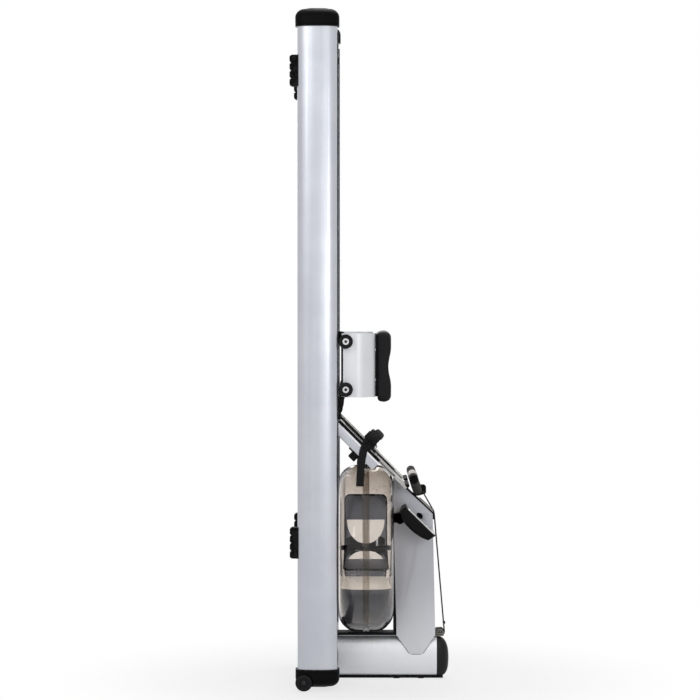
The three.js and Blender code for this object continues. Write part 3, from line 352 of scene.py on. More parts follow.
def place_group(material, group, **values):
    """Adds a node group to a material and gives its outputs."""
    node = add_node(material.node_tree, "Group", {"node_tree": group}, **values)
    return node.outputs


def tint(material, factor, first, second):
    """Mixes two linear colours by a mask and makes the mix the base colour."""
    tree = material.node_tree
    ends = [(*value, 1) if isinstance(value, tuple) else value for value in (first, second)]
    node = add_node(tree, "Mix", {"data_type": "RGBA"}, Factor=factor, A=ends[0], B=ends[1])
    set_inputs(material, Base_Color=node.outputs["Result"])
    return node.outputs["Result"]


def vary(material, factor, low, high):
    """Maps a mask to a range of roughness."""
    node = add_node(material.node_tree, "MapRange", Value=factor, To_Min=low, To_Max=high)
    set_inputs(material, Roughness=node.outputs["Result"])


def bump(material, height, distance, strength):
    node = add_node(material.node_tree, "Bump", Height=height, Distance=distance, Strength=strength)
    set_inputs(material, Normal=node.outputs["Normal"])


def height_mask(material, low, high):
    """0 below low and 1 above high, in metres of object height."""
    return ramp_in(material.node_tree, object_height(material.node_tree), low, high)


print("material helpers ready")

# %% [markdown]
# The rails are anodised aluminium: a silver that is soft, not mirror-like. A mostly metallic
# shader with fine lines along the extrusion gives that. The column's silver is a paler, less
# metallic copy of it. That is painted light where the tank above shades the column, and the
# same pale copy is a painted highlight along each strut's top edge. The panels are painted
# silver, so they are less metallic and carry an even grain. Their colour is lighter towards the
# bottom and darker above, which is painted light and shade.

# %% Metal finishes


def metal_finish(name, colour, shade, roughness, metallic, lines, grain_scale=1100.0):
    material = new_material(name, roughness, metallic)
    surface = place_group(material, grain, Scale=grain_scale, Cloud_Scale=6.0)
    tint(material, surface["Cloud"], srgb(*colour), srgb(*shade))
    if lines:
        streaks = place_group(material, drawn)
        vary(material, streaks["Streak"], roughness - 0.05, roughness + 0.06)
        bump(material, streaks["Height"], 0.00004, 0.5)
    else:
        vary(material, surface["Cloud"], roughness - 0.04, roughness + 0.05)
        bump(material, surface["Height"], 0.00006, 0.5)
    return material


rail_metal = metal_finish("anodised_rail", (194, 197, 204), (186, 189, 197), 0.34, 0.78, True)
# Painted light: the column's silver is paler and less metallic than the rails', standing in for light
# that the tank above keeps off.
column_metal_painted_light = metal_finish("anodised_column_painted_light", (241, 243, 247), (236, 238, 242), 0.5, 0.5, True)
carriage_metal = metal_finish("anodised_sheet", (228, 229, 233), (220, 222, 226), 0.44, 0.5, True)
panel_paint_and_shade = metal_finish("silver_panel_paint", (196, 198, 206), (188, 190, 199), 0.5, 0.3,
                           False, 1600.0)
# Painted light and shade: the panels' paint is lighter towards the bottom and darker above.
tint(panel_paint_and_shade, height_mask(panel_paint_and_shade, 0.08, 0.36), srgb(230, 231, 236), srgb(191, 193, 200))
bright_metal = metal_finish("bright_steel", (215, 215, 215), (190, 190, 190), 0.22, 1, False)
dark_steel = metal_finish("blackened_bolt", (58, 58, 60), (44, 44, 46), 0.4, 0.8, False)
print("metal finishes ready")

# %% [markdown]
# The black pieces are not one black. Mouldings have a fine grain, powder-coated steel is a
# little rougher, rubber is matt, and the wheels are greyer. Their edges are rubbed paler with
# use. The light grey mouldings and the grey bracket are made the same way.

# %% Black finishes


def black_finish(name, colour, rubbed, roughness, scale, depth, shine=0.05):
    material = new_material(name, roughness, Coat_Roughness=0.3, Specular_IOR_Level=shine)
    surface = place_group(material, grain, Scale=scale, Cloud_Scale=14.0)
    edges = place_group(material, wear)
    dark = srgb(*colour)
    cloudy = tint(material, surface["Cloud"], dark, tuple(value * 1.35 for value in dark))
    tint(material, edges["Mask"], cloudy, srgb(*rubbed))
    vary(material, surface["Cloud"], roughness - 0.06, roughness + 0.06)
    bump(material, surface["Height"], depth, 0.6)
    return material


black_plastic = black_finish("moulded_black", (12, 12, 13), (38, 38, 40), 0.42, 1500.0, 0.00006)
black_powder = black_finish("powder_coated_black", (11, 11, 12), (36, 36, 38), 0.55, 900.0, 0.00008)
monitor_black = black_finish("monitor_moulding", (5, 5, 6), (24, 24, 26), 0.4, 1500.0, 0.00004, 0.1)
arm_black = black_finish("arm_black", (3, 3, 4), (14, 14, 15), 0.7, 1500.0, 0.00004, 0.0)
black_rubber = black_finish("black_rubber", (12, 12, 13), (36, 36, 37), 0.72, 700.0, 0.00012)
tread_rubber = black_finish("wheel_rubber", (36, 36, 38), (58, 58, 60), 0.55, 1200.0, 0.00006)
grey_plastic = black_finish("light_grey_moulding", (186, 183, 177), (206, 204, 200), 0.5, 1500.0,
                            0.00006, 0.5)
cap_black = black_finish("front_cap_black", (19, 19, 21), (52, 52, 54), 0.42, 1500.0, 0.00005, 0.22)
brown_grey = black_finish("worn_bracket_grey", (128, 122, 115), (160, 154, 148), 0.6, 900.0,
                          0.00012, 0.3)
screen_black = new_material("screen_glass", 0.08, Coat_Weight=0.6)
film = place_group(screen_black, grain, Scale=300.0, Cloud_Scale=30.0)
tint(screen_black, film["Cloud"], srgb(44, 48, 46), srgb(52, 57, 54))
print("black finishes ready")

# %% [markdown]
# Webbing, foam and hide each need their own structure: threads that cross, round closed cells,
# and shallow pebbles with creases.

# %% Soft finishes


def soft_finish(name, group, mask, scale, colour, second, roughness, depth, strength,
                sheen=0.0, shine=0.25):
    material = new_material(name, roughness, Sheen_Weight=sheen, Specular_IOR_Level=shine)
    surface = place_group(material, group, Scale=scale)
    tint(material, surface[mask], srgb(*colour), srgb(*second))
    bump(material, surface["Height"], depth, strength)
    return material


webbing = soft_finish("strap_webbing", weave, "Thread", 420.0, (12, 12, 13), (30, 30, 32),
                      0.85, 0.0003, 0.8, 0.05)
belt_webbing = soft_finish("belt_webbing", weave, "Thread", 520.0, (52, 52, 54), (84, 84, 86),
                           0.8, 0.0003, 0.6, 0.1)
foam_skin = soft_finish("grip_foam", cells, "Tone", 900.0, (34, 32, 31), (50, 47, 45),
                        0.9, 0.0002, 0.8, 0.05)
seat_hide = soft_finish("seat_hide", cells, "Tone", 560.0, (34, 34, 36), (42, 42, 44),
                        0.5, 0.00022, 0.7, shine=0.06)
print("soft finishes ready")

# %% [markdown]
# The tank is clear plastic with a brown smoke tint. Light passes through its front and its back
# wall, so each wall only takes half of the tint. The water is a second body with water's index
# of refraction. Its cool grey lets only a part of the light through, and drops cling to the
# wall above it.

# %% Tank finishes


def clear_finish(name, colour, roughness, ior, shadow=(235, 230, 226)):
    """A see-through body. Shadow rays pass it with a plain tint."""
    material = new_material(name, roughness, Transmission_Weight=1.0, IOR=ior,
                            Base_Color=(*srgb(*colour), 1))
    tree = material.node_tree
    passing = add_node(tree, "BsdfTransparent", Color=(*srgb(*shadow), 1))
    mixed = mixed_shader(tree, seen_ray(tree, "Shadow"), principled(material), passing)
    feed(tree, tree.nodes["Material Output"].inputs["Surface"], mixed)
    return material


tank_smoke = clear_finish("smoked_tank", (236, 232, 228), 0.02, 1.3)
wet = place_group(tank_smoke, droplets)
bump(tank_smoke, wet["Height"], 0.0007, 0.8)
smoke = tint(tank_smoke, height_mask(tank_smoke, 0.54, 0.7), srgb(229, 224, 219),
             srgb(200, 192, 184))
facing = add_node(tank_smoke.node_tree, "LayerWeight", Blend=0.22).outputs["Facing"]
smoke = tint(tank_smoke, facing, smoke, srgb(198, 189, 180))
tint(tank_smoke, wet["Mask"], smoke, srgb(160, 150, 140))
band_smoke = clear_finish("smoked_band", (212, 207, 202), 0.06, 1.3)
band_grain = place_group(band_smoke, grain, Scale=260.0, Cloud_Scale=20.0)
tint(band_smoke, band_grain["Cloud"], srgb(212, 207, 202), srgb(206, 200, 194))
water_finish = clear_finish("tank_water", (101, 107, 119), 0.0, 1.33, (190, 192, 196))
set_inputs(water_finish, Transmission_Weight=0.25)
ripple = place_group(water_finish, grain, Scale=60.0, Cloud_Scale=7.0)
bump(water_finish, ripple["Cloud"], 0.0008, 0.25)
paddle_smoke = clear_finish("smoked_paddle", (116, 117, 122), 0.3, 1.2, (170, 172, 176))
set_inputs(paddle_smoke, Specular_IOR_Level=0.1)
paddle_cloud = place_group(paddle_smoke, grain, Scale=400.0, Cloud_Scale=8.0)
cloudy = tint(paddle_smoke, paddle_cloud["Cloud"], srgb(96, 101, 113), srgb(110, 115, 127))
# Painted shade: the panes are darker towards their top.
tint(paddle_smoke, height_mask(paddle_smoke, 0.525, 0.605), cloudy, srgb(66, 69, 78))
# The water's surface is a pale, nearly opaque film that glows a little: painted light and painted
# reflection where the studio light catches it.
glowing_surface_film = clear_finish("water_surface_painted_glow", (232, 226, 217), 0.3, 1.33)
set_inputs(glowing_surface_film, Transmission_Weight=0.08, Emission_Strength=0.42,
           Emission_Color=(*srgb(226, 220, 212), 1))
calm = place_group(glowing_surface_film, grain, Scale=40.0, Cloud_Scale=5.0)
bump(glowing_surface_film, calm["Cloud"], 0.0006, 0.2)
print("tank finishes ready")

# %% [markdown]
# Meshes are made from outlines. A ring of points carried along, or turned round an axis, is the
# way each of these pieces is extruded, moulded or turned in the factory. Edges get a small
# round, because a real edge always catches a thin line of light.

# %% Mesh helpers
DIAGONAL = math.sqrt(0.5)
SMOOTH_ANGLE = 32


def finish_mesh(name, bm, material, body, angle):
    bmesh.ops.recalc_face_normals(bm, faces=bm.faces)
    mesh = bpy.data.meshes.new(name)
    bm.to_mesh(mesh)
    bm.free()
    mesh.shade_smooth()
    mesh.set_sharp_from_angle(angle=math.radians(angle))
    mesh.materials.append(material)
    obj = put_in_scene(bpy.data.objects.new(name, mesh))
    if body:
        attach(obj, body)
    return obj


def detail(name, bm, material, near, angle=SMOOTH_ANGLE):
    """A small piece that goes with a node and replaces nothing."""
    return finish_mesh(name, bm, material, body_of[near], angle)


def dress(node, bm, material, angle=SMOOTH_ANGLE, rides=True):
    """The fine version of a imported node, in its place."""
    body = body_of[node] if rides else None
    obj = finish_mesh("fine_" + node, bm, material, body, angle)
    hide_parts(node)
    return obj


def edged(node, material, width=0.8, segments=2, angle=28, rides=True):
    """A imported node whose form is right, with its edges rounded."""
    bm = bmesh.new()
    bm.from_mesh(frame["nodes"][node].data)
    bmesh.ops.remove_doubles(bm, verts=bm.verts, dist=0.000004)
    bmesh.ops.dissolve_limit(bm, angle_limit=math.radians(1), verts=bm.verts, edges=bm.edges)
    return dress(node, bevelled(bm, width, segments, angle), material, rides=rides)


def mesh_from(vertices, faces):
    bm = bmesh.new()
    made = [bm.verts.new(Vector(v) * MM) for v in vertices]
    for face in faces:
        bm.faces.new([made[i] for i in face])
    return bm


def loft(rings, closed=False):
    """Rings of equally many points joined side by side; capped, or closed into a loop."""
    count = len(rings[0])
    vertices = [point for ring in rings for point in ring]
    faces = []
    for i in range(len(rings) if closed else len(rings) - 1):
        a, b = i * count, ((i + 1) % len(rings)) * count
        for j in range(count):
            k = (j + 1) % count
            faces.append((a + j, a + k, b + k, b + j))
    if not closed:
        faces.append(tuple(range(count)))
        faces.append(tuple(range(len(vertices) - count, len(vertices))))
    return mesh_from(vertices, faces)


def turned(pairs, to_place, segments=64):
    """A profile of (radius, height) turned round an axis; a radius of 0 closes it."""
    vertices, faces, rows = [], [], []
    for radius, height in pairs:
        if radius < 1e-6:
            rows.append([len(vertices)] * segments)
            vertices.append(to_place(0, 0, height))
            continue
        rows.append(list(range(len(vertices), len(vertices) + segments)))
        vertices += [to_place(a, b, height) for a, b in circle(radius, segments)]
    for low, high in zip(rows, rows[1:]):
        for i in range(segments):
            j = (i + 1) % segments
            face = tuple(dict.fromkeys((low[i], low[j], high[j], high[i])))
            if len(face) > 2:
                faces.append(face)
    return mesh_from(vertices, faces)


def cylinder(radius, low, high, to_place, segments):
    return turned([(0, low), (radius, low), (radius, high), (0, high)], to_place, segments)


def circle(radius, count):
    angles = [2 * math.pi * i / count for i in range(count)]
    return [(radius * math.cos(angle), radius * math.sin(angle)) for angle in angles]


def arc(steps, share=0.5, start=0.0):
    """Cosine and sine along an arc; share and start are parts of a half turn."""
    angles = [math.pi * (start + share * i / steps) for i in range(steps + 1)]
    return [(math.cos(angle), math.sin(angle)) for angle in angles]


def about_x(x, y, z):
    return lambda a, b, h: (x + h, y + a, z + b)


def about_y(x, y, z, side=1):
    return lambda a, b, h: (x + a, y + side * h, z + b)


def round_profile(pairs, radius, steps=3):
    """Softens the corners of a closed outline with short curves."""
    result = []
    for i, pair in enumerate(pairs):
        here = Vector(pair)
        before = Vector(pairs[i - 1]) - here
        after = Vector(pairs[(i + 1) % len(pairs)]) - here
        reach = min(radius, before.length * 0.45, after.length * 0.45)
        start = here + before.normalized() * reach
        end = here + after.normalized() * reach
        for k in range(steps + 1):
            t = k / steps
            result.append(tuple(start * (1 - t) ** 2 + here * (2 * t * (1 - t)) + end * t * t))
    return result


def rectangle(low, high):
    return [(low[0], low[1]), (high[0], low[1]), (high[0], high[1]), (low[0], high[1])]


def bevelled(bm, width, segments=2, angle=28):
    edges = [
        edge for edge in bm.edges
        if len(edge.link_faces) == 2 and edge.calc_face_angle(0) > math.radians(angle)
    ]
    if edges and width > 0:
        bmesh.ops.bevel(bm, geom=edges, offset=width * MM, segments=segments, profile=0.6,
                        affect="EDGES", clamp_overlap=True)
    return bm


def prism(outline, low, high, place, width=0.8, segments=2):
    """An outline of (a, b) pairs carried from low to high, with rounded edges."""
    rings = [[place(a, b, level) for a, b in outline] for level in (low, high)]
    return bevelled(loft(rings), width, segments)


def across_y(a, b, level):
    return (a, level, b)


def up_z(a, b, level):
    return (a, b, level)


def along_x(a, b, level):
    return (level, a, b)


def on_slope(down, across, out):
    """A point in the foot boards' frame: down the slope, across the machine, out of it."""
    return (-104 + (down + out) * DIAGONAL, across, 836 + (out - down) * DIAGONAL)


def along_slope(down, out, level):
    return on_slope(down, level, out)


def block(low, high, place=up_z, width=0.8, segments=2):
    corners = [(x, y, z) for z in (low[2], high[2]) for x, y in rectangle(low, high)]
    faces = [(0, 3, 2, 1), (4, 5, 6, 7), (0, 1, 5, 4), (1, 2, 6, 5), (2, 3, 7, 6), (3, 0, 4, 7)]
    return bevelled(mesh_from([place(*corner) for corner in corners], faces), width, segments)


def spread(side, inner, outer):
    """Two distances from the machine's middle as Y values of one side, lowest first."""
    return sorted((side * inner, side * outer))


def slab(side, down, reach, out, width=0.8, segments=2):
    """A block in the foot boards' frame; reach is measured from the machine's middle."""
    near, far = spread(side, *reach)
    return block((down[0], near, out[0]), (down[1], far, out[1]), on_slope, width, segments)


def joined(*parts):
    """Several meshes as one, without a boolean: they only touch or sink a hair."""
    whole = bmesh.new()
    for part in parts:
        spare = bpy.data.meshes.new("spare")
        part.to_mesh(spare)
        part.free()
        whole.from_mesh(spare)
        bpy.data.meshes.remove(spare)
    return whole


def evaluated(obj):
    bpy.context.view_layer.update()
    return obj.evaluated_get(bpy.context.evaluated_depsgraph_get())


def carved(obj, *cutters):
    """Cuts closed shapes out of a piece and keeps the result as its mesh."""
    for cutter in cutters:
        spare = bpy.data.meshes.new("cutter")
        bmesh.ops.recalc_face_normals(cutter, faces=cutter.faces)
        cutter.to_mesh(spare)
        cutter.free()
        tool = put_in_scene(bpy.data.objects.new("cutter", spare))
        step = obj.modifiers.new("cut", "BOOLEAN")
        step.object = tool
        step.solver = "EXACT"
        result = bpy.data.meshes.new_from_object(evaluated(obj))
        obj.modifiers.clear()
        old = obj.data
        obj.data = result
        bpy.data.objects.remove(tool)
        bpy.data.meshes.remove(old)
    obj.data.shade_smooth()
    obj.data.set_sharp_from_angle(angle=math.radians(SMOOTH_ANGLE))


print("mesh helpers ready")

# %% [markdown]
# Screws and bolts tell how a machine goes together. Each is a low dome with a round socket,
# turned as one profile, and one helper places it on any face.

# %% Bolts


def turned_to(place, axis):
    """Places a profile that starts at a point and runs along an axis."""
    turn = Vector((0, 0, 1)).rotation_difference(Vector(axis))
    return lambda a, b, h: tuple(Vector(place) + turn @ Vector((a, b, h)))


def bolt(name, place, axis, radius, near, material=dark_steel, rise=0.45):
    """A button-head bolt; place is on the face in mm and axis points out of it."""
    socket, height = radius * 0.42, radius * rise
    pairs = [(0, height * 0.35), (socket, height * 0.35), (socket * 1.02, height * 0.98),
             (radius * 0.55, height), (radius * 0.86, height * 0.72), (radius, height * 0.28),
             (radius, 0), (0, 0)]
    return detail(name, turned(pairs, turned_to(place, axis), 24), material, near)


print("bolts ready")

# %% [markdown]
# The rails are one extrusion: an oval with narrow flat lands on its top and its bottom edge. The
# oval is four Bezier quarters. A scaled cylinder would miss the lands that the tracks and the
# feet sit on.

# %% Rails and their caps
RAIL_X, RAIL_Y, RAIL_LOW, RAIL_HIGH = -166, 250, 67.3, 2064.3
RAIL_WALL, CAP_LIP, FRONT_CAP_Z, REAR_CAP_Z = 3, 6.5, 67, 2064.6
WHEEL_X, WHEEL_Z, WHEEL_INNER = -208, 26.5, 262.5
TYRE = [(5.1, 0), (22, 0), (24.2, 0.7), (25.8, 2.3), (26.5, 4.6), (26.5, 9), (25.9, 9.8),
        (25.9, 11), (26.5, 11.8), (26.5, 21.4), (25.8, 23.7), (24.2, 25.3), (22, 26),
        (15, 26), (14, 25), (13.4, 23.6), (11, 23.6), (10, 24.4), (8, 24.4), (5.1, 24), (5.1, 0)]


def oval(grow=0.0, steps=14, depth=62.0, width=35.0):
    half_depth, half_width = depth + grow, width + grow
    points = [Vector((half_depth, half_width * 0.37)), Vector((half_depth, half_width * 0.86)),
              Vector((half_depth * 0.55, half_width)), Vector((0, half_width))]
    quarter = []
    for i in range(steps + 1):
        t = i / steps
        weights = ((1 - t) ** 3, 3 * t * (1 - t) ** 2, 3 * t * t * (1 - t), t**3)
        quarter.append(sum((p * w for p, w in zip(points, weights)), Vector((0, 0))))
    half = quarter + [Vector((-p.x, p.y)) for p in reversed(quarter[:-1])]
    return half + [Vector((-p.x, -p.y)) for p in half]


def rail_ring(side, z, grow, steps=14):
    return [(RAIL_X + p.x, side * RAIL_Y + p.y, z) for p in oval(grow, steps)]


def end_cap(side, foot, way):
    """An end cap; its steps are (how far in from the flange, how far along the rail)."""
    steps = [(0.9, 0), (0, 0.9), (0, 6), (0.9, 6.9), (0.9, 8.3), (0, 9.2)]
    steps += [(31 * (1 - cos), 27 + 28 * sin) for cos, sin in arc(12)] + [(37, 57), (44, 58)]
    return loft([rail_ring(side, foot + way * along, CAP_LIP - inset, 10)
                 for inset, along in steps])


for side_name, side in sides:
    corners = ((0, RAIL_LOW), (0, RAIL_HIGH), (-RAIL_WALL, RAIL_HIGH), (-RAIL_WALL, RAIL_LOW))
    rail = loft([rail_ring(side, z, grow) for grow, z in corners], closed=True)
    dress("rail_" + side_name, rail, rail_metal)
    dress("rear_cap_" + side_name, end_cap(side, REAR_CAP_Z, 1), black_plastic)
    near = "front_cap_" + side_name
    cap = dress(near, end_cap(side, FRONT_CAP_Z, -1), black_plastic)
    wheel_room = about_y(WHEEL_X, side * (WHEEL_INNER - 3), WHEEL_Z, side)
    carved(cap, cylinder(29.5, 0, 40, wheel_room, 64))
    hub = about_y(WHEEL_X, side * WHEEL_INNER, WHEEL_Z, side)
    detail("transport_axle_" + side_name, cylinder(5, -10, 24, hub, 24), dark_steel, near)
    dress("transport_wheel_" + side_name, turned(TYRE, hub), tread_rubber)
    bolt("transport_bolt_" + side_name, (WHEEL_X, side * (WHEEL_INNER + 24), WHEEL_Z),
         (0, side, 0), 7, near)
print("rails, caps and transport wheels")

# %% [markdown]
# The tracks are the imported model's dark strips with rounded edges. The feet are rubber pads with
# round ribs: one outline is carried across, and the rail's oval is cut out of it.

# %% Tracks and feet
FOOT_LENGTH, FOOT_RIBS = 97, 4


def foot_outline(low):
    pairs = [(-223, low), (-223, low + FOOT_LENGTH)]
    pitch = FOOT_LENGTH / FOOT_RIBS
    for rib in reversed(range(FOOT_RIBS)):
        start = low + rib * pitch
        pairs += [(-246, start + pitch - 0.6), (-247, start + pitch - 1.8)]
        pairs += [(-247 - 5 * min(1, 1.35 * sin), start + pitch / 2 + (pitch / 2 - 2.2) * cos)
                  for cos, sin in arc(8, 0.84, 0.08)]
        pairs += [(-247, start + 1.8), (-246, start + 0.6)]
    return pairs


for side_name, side in sides:
    edged("track_" + side_name, black_plastic, 0.6)
    for z in (612, 980, 1348, 1716):
        bolt(f"track_screw_{side_name}_{z}", (-97.4, side * RAIL_Y, z), (1, 0, 0), 4.5,
             "track_" + side_name, rise=0.06)
    for end, low in (("front", 412), ("rear", 1880)):
        pad = prism(foot_outline(low), side * RAIL_Y - 22, side * RAIL_Y + 22, across_y, 1.0)
        pad = dress(f"{end}_foot_{side_name}", pad, black_rubber)
        carved(pad, loft([rail_ring(side, z, 0.3) for z in (low - 9, low + 106)]))
print("tracks and feet")

# %% [markdown]
# The front beam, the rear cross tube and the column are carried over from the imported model,
# because their coped ends are already right. The column's cap is a dome that is lofted in rings.

# %% Beam, cross tube, column and its cap
edged("front_beam", black_powder, 0)
edged("rear_cross_tube", black_powder, 0)
edged("column", column_metal_painted_light, 0)
rings = []
for cos, sin in arc(16):
    out, share = sin**0.77, max(cos, 0.003) ** 0.77
    height = (62 + 3 * out) * share
    rings.append([(213.3 + 38.2 * out, p.y, 72 - 6 * out + p.x)
                  for p in oval(0, 12, height, 35 * max(share, 0.3))])
dress("column_cap", loft(rings), cap_black)
strip = [block((-104, -20, 2), (233, 20, 9.7), width=0.9)]
for x in (84, 162):
    outline = round_profile([(x - 12, 2.3), (x - 8, 0), (x + 8, 0), (x + 12, 2.3)], 1.2)
    strip.append(prism(outline, -18, 18, across_y, 0.3))
dress("floor_strip", joined(*strip), black_rubber)
print("front end")

# %% [markdown]
# The tank is two dished shells that meet in a wide seal band. They are turned round the paddle's
# shaft. A thin real wall, not one solid lens, keeps the view through it straight, as in the
# photograph.

# %% Tank shells, band and water
TANK_Z, TANK_R, SHOULDER, WALL, WATER_Z = 419, 268, 60, 5, 313
TANK_SEGMENTS = 128
IN_TANK = about_x(0, 0, TANK_Z)
BAND = [(268.3, -25), (271, -25), (272.2, -23.8), (272.2, -18.5), (270.6, -17.6),
        (270.6, -11.4), (272.2, -10.5), (272.2, -5.2), (271, -4), (268.3, -4), (268.3, -25)]
PLUG = [(0, 6.3), (6, 6.3), (7, 4.8), (10, 4.8), (11, 6.3), (15.5, 6.3), (17, 5), (17, 0.3),
        (12, 0.3), (12, -5), (0, -5)]


def shell(seam, dish_at, hole, sign):
    """One shell: its outside from the middle to the seam, then back inside."""
    centre = dish_at - sign * SHOULDER
    outer = [(hole, dish_at)]
    inner = [(hole, dish_at - sign * WALL)]
    for rise, reach in arc(16):
        for row, radius in ((outer, SHOULDER), (inner, SHOULDER - WALL)):
            row.append((TANK_R - SHOULDER + radius * reach, centre + sign * radius * rise))
    outer.append((TANK_R, seam))
    inner.append((TANK_R - WALL, seam))
    return turned(outer + inner[::-1] + [outer[0]], IN_TANK, TANK_SEGMENTS)


def water_body():
    """The part of the tank's inside below the water line, a hair off its wall."""
    gap = WALL + 0.6
    low, high, corner = -96.9, 67.9, SHOULDER - gap
    middle = TANK_R - gap - corner
    profile = [(0, low)]
    profile += [(middle + corner * sin, low + corner * (1 - cos)) for cos, sin in arc(12)]
    profile += [(middle + corner * cos, high - corner * (1 - sin)) for cos, sin in arc(12)]
    bm = turned(profile + [(0, high)], IN_TANK, TANK_SEGMENTS)
    cut = bmesh.ops.bisect_plane(bm, geom=bm.verts[:] + bm.edges[:] + bm.faces[:],
                                 plane_co=(0, 0, WATER_Z * MM), plane_no=(0, 0, 1),
                                 clear_outer=True)
    rim = [item for item in cut["geom_cut"] if isinstance(item, bmesh.types.BMEdge)]
    bmesh.ops.contextual_create(bm, geom=rim)
    return bm


dress("tank_shell_upper", shell(-14.35, 73.5, 9, 1), tank_smoke)
dress("tank_shell_lower", shell(-14.65, -102.5, 0.0, -1), tank_smoke)
dress("tank_band", turned(BAND, IN_TANK, TANK_SEGMENTS), band_smoke)
water = detail("tank_water", water_body(), water_finish, "tank_shell_lower", 40)
water.data.materials.append(glowing_surface_film)
for face in water.data.polygons:
    face.material_index = 1 if face.normal.z > 0.99 and face.center.z > (WATER_Z - 1) * MM else 0
dress("filler_plug", turned(PLUG, about_x(73.5, 150, 499), 48), black_plastic)
print("tank, band, water and plug")

# %% [markdown]
# The paddle has three blades of dark see-through plastic, each with a thick rim and a window
# beside the shaft. It has stopped with its upper blade leaning a little away from the camera.
# The rim and the hub are solid black, which draws the dark outline that the photograph shows
# inside the tank.

# %% Paddle rotor
BLADES, LEAN, WINDOW_MIDDLE = 3, math.radians(12), -15
SHAFT = [(0, -97), (8, -97), (8, -72), (11, -70), (11, 40), (8, 42), (8, 118), (7, 119), (0, 119)]
WEB = [(-80, 9), (-80, 30), (-52, 42), (-40, 30), (10, 30), (22, 42), (50, 30), (50, 9)]


def blade_outline(inset):
    low, high, tip, corner = -90 + inset, 60 - inset, 174 - inset, 22 - inset
    pairs = [(low, 8), (high, 8)]
    pairs += [(high - corner + corner * cos, tip - corner + corner * sin) for cos, sin in arc(8)]
    return pairs + [(low + corner - corner * sin, tip - corner + corner * cos)
                    for cos, sin in arc(8)]


def window_outline(grow=0.0):
    """A half disc: flat at the top, round towards the shaft."""
    return [(WINDOW_MIDDLE + (64 + grow) * cos, 91 + grow - (77.5 + 2 * grow) * sin)
            for cos, sin in arc(24, 1)]


def blade_place(angle):
    turn = Matrix.Rotation(angle, 3, "X")
    return lambda a, b, level: tuple(turn @ Vector((a, level, b)) + Vector((0, 0, TANK_Z)))


def blade_piece(name, place, outline, half, width, material, hole):
    """A plate of a blade with its hole cut through, turned to the blade's place."""
    piece = detail(name, prism(outline, -half, half, place, width), material, "paddle_rotor")
    carved(piece, prism(hole, -9, 9, place, 0))


dress("paddle_rotor", turned(SHAFT, IN_TANK, 48), black_plastic)
for i in range(BLADES):
    place = blade_place(i * 2 * math.pi / BLADES - LEAN)
    blade_piece(f"paddle_rim_{i}", place, blade_outline(0), 2.6, 0.8, black_plastic,
                blade_outline(5))
    blade_piece(f"paddle_pane_{i}", place, blade_outline(5.2), 1.2, 0, paddle_smoke,
                window_outline())
    blade_piece(f"paddle_web_{i}", place, WEB, 2, 0.5, black_plastic, window_outline(0.4))
print("paddle with", BLADES, "blades")

# %% [markdown]
# The drum and the tank frame are seen only through gaps, so rounded edges are enough for them.
# The deck's panels are folded sheet with a coat of silver paint. Their flanges are folded
# outwards, and a thin black strip round their lower edge is painted shadow of the seam.

# %% Drum, tank frame and deck
PORT_RING = [(10.2, 0), (10.2, -3.2), (9, -3.2), (8.6, 0.9), (9.6, 1.3), (12.2, 1.1),
             (12.6, 0.2), (10.2, 0)]
FLANGES = {"upper": [(74.6, 534), (84, 534), (84, 641), (74.6, 650)],
           "lower": [(74.8, 503), (84, 503), (84, 200), (82.6, 200)]}
SEAM_SHADOW = [(83, 160), (81.4, 142.6), (122.3, 83.2), (133.6, 79.2), (159.4, 79.2), (170.7, 83.2),
          (209.6, 142.6), (208, 160)]

edged("belt_drum", black_plastic, 0.5)
edged("tank_frame", black_powder, 1.0)
for side_name, side in sides:
    panel = "deck_side_" + side_name
    edged(panel, panel_paint_and_shade, 0.7)
    for level, fold in FLANGES.items():
        detail(f"deck_flange_{level}_{side_name}",
               prism(fold, *spread(side, 35.6, 38), across_y, 0.4), panel_paint_and_shade, panel)
    # A thin black strip just past each panel's lower edge: painted shadow of the seam.
    detail("panel_seam_shadow_" + side_name, prism(SEAM_SHADOW, *spread(side, 35.05, 35.35), across_y, 0),
           black_rubber, panel)
edged("deck_cover", black_powder, 0.6, 2, 40)
edged("belt_guide", grey_plastic, 0.5)
sleeve = round_profile(rectangle((70, 503.4), (123, 532.5)), 4)
detail("arm_sleeve", prism(sleeve, -39.6, -38.5, across_y, 0.3), arm_black, "monitor_arm")
detail("port_ring", turned(PORT_RING, about_y(155, -38.3, 523, -1), 40), black_plastic,
       "deck_side_right")
print("deck")

# %% [markdown]
# The monitor is a hollow moulding with a curved back. Its section is a smooth curve through a
# few points, and the rings shrink towards both ends, so that the corners are round like a
# moulding's. A silver bezel and a dark window lie on its face.

# %% Monitor
BUTTONS = {"left": -162, "middle": -130, "right": -98}
BUTTON_PROFILE = [(7, -7), (7, -1.6), (6.6, -0.9), (5.2, -0.55), (2.4, -0.75), (0.05, -0.8)]
CASE_BACK = [(0, -3.5), (-2.6, -16.5), (2, -27.8), (10.5, -36.4), (25, -40.8), (44.5, -43),
             (65.5, -43.4), (86.5, -40.8), (105, -36.4), (119, -30.4), (125, -25.2), (130.5, -1.8)]
CASE_ENDS = ((13, -205), (7, -204.4), (3, -202.6), (0.8, -199.5), (0, -195), (0, -65),
             (0.8, -60.5), (3, -57.4), (7, -55.6), (13, -55))
COLLAR = [(9.2, -11), (9.8, -11), (10.4, -10.4), (10.4, 10.4), (9.8, 11), (9.2, 11), (9.2, -11)]
ARM = [(0, -153.2), (7.6, -153.2), (9, -152), (9, 35), (0, 35)]
ARM_X, ARM_Z = 93, 518


def on_monitor(along, across, out):
    """A point in the monitor's frame: down its face, across the machine, out of the face."""
    return (113 + (along + out) * DIAGONAL, across, 569.5 + (out - along) * DIAGONAL)


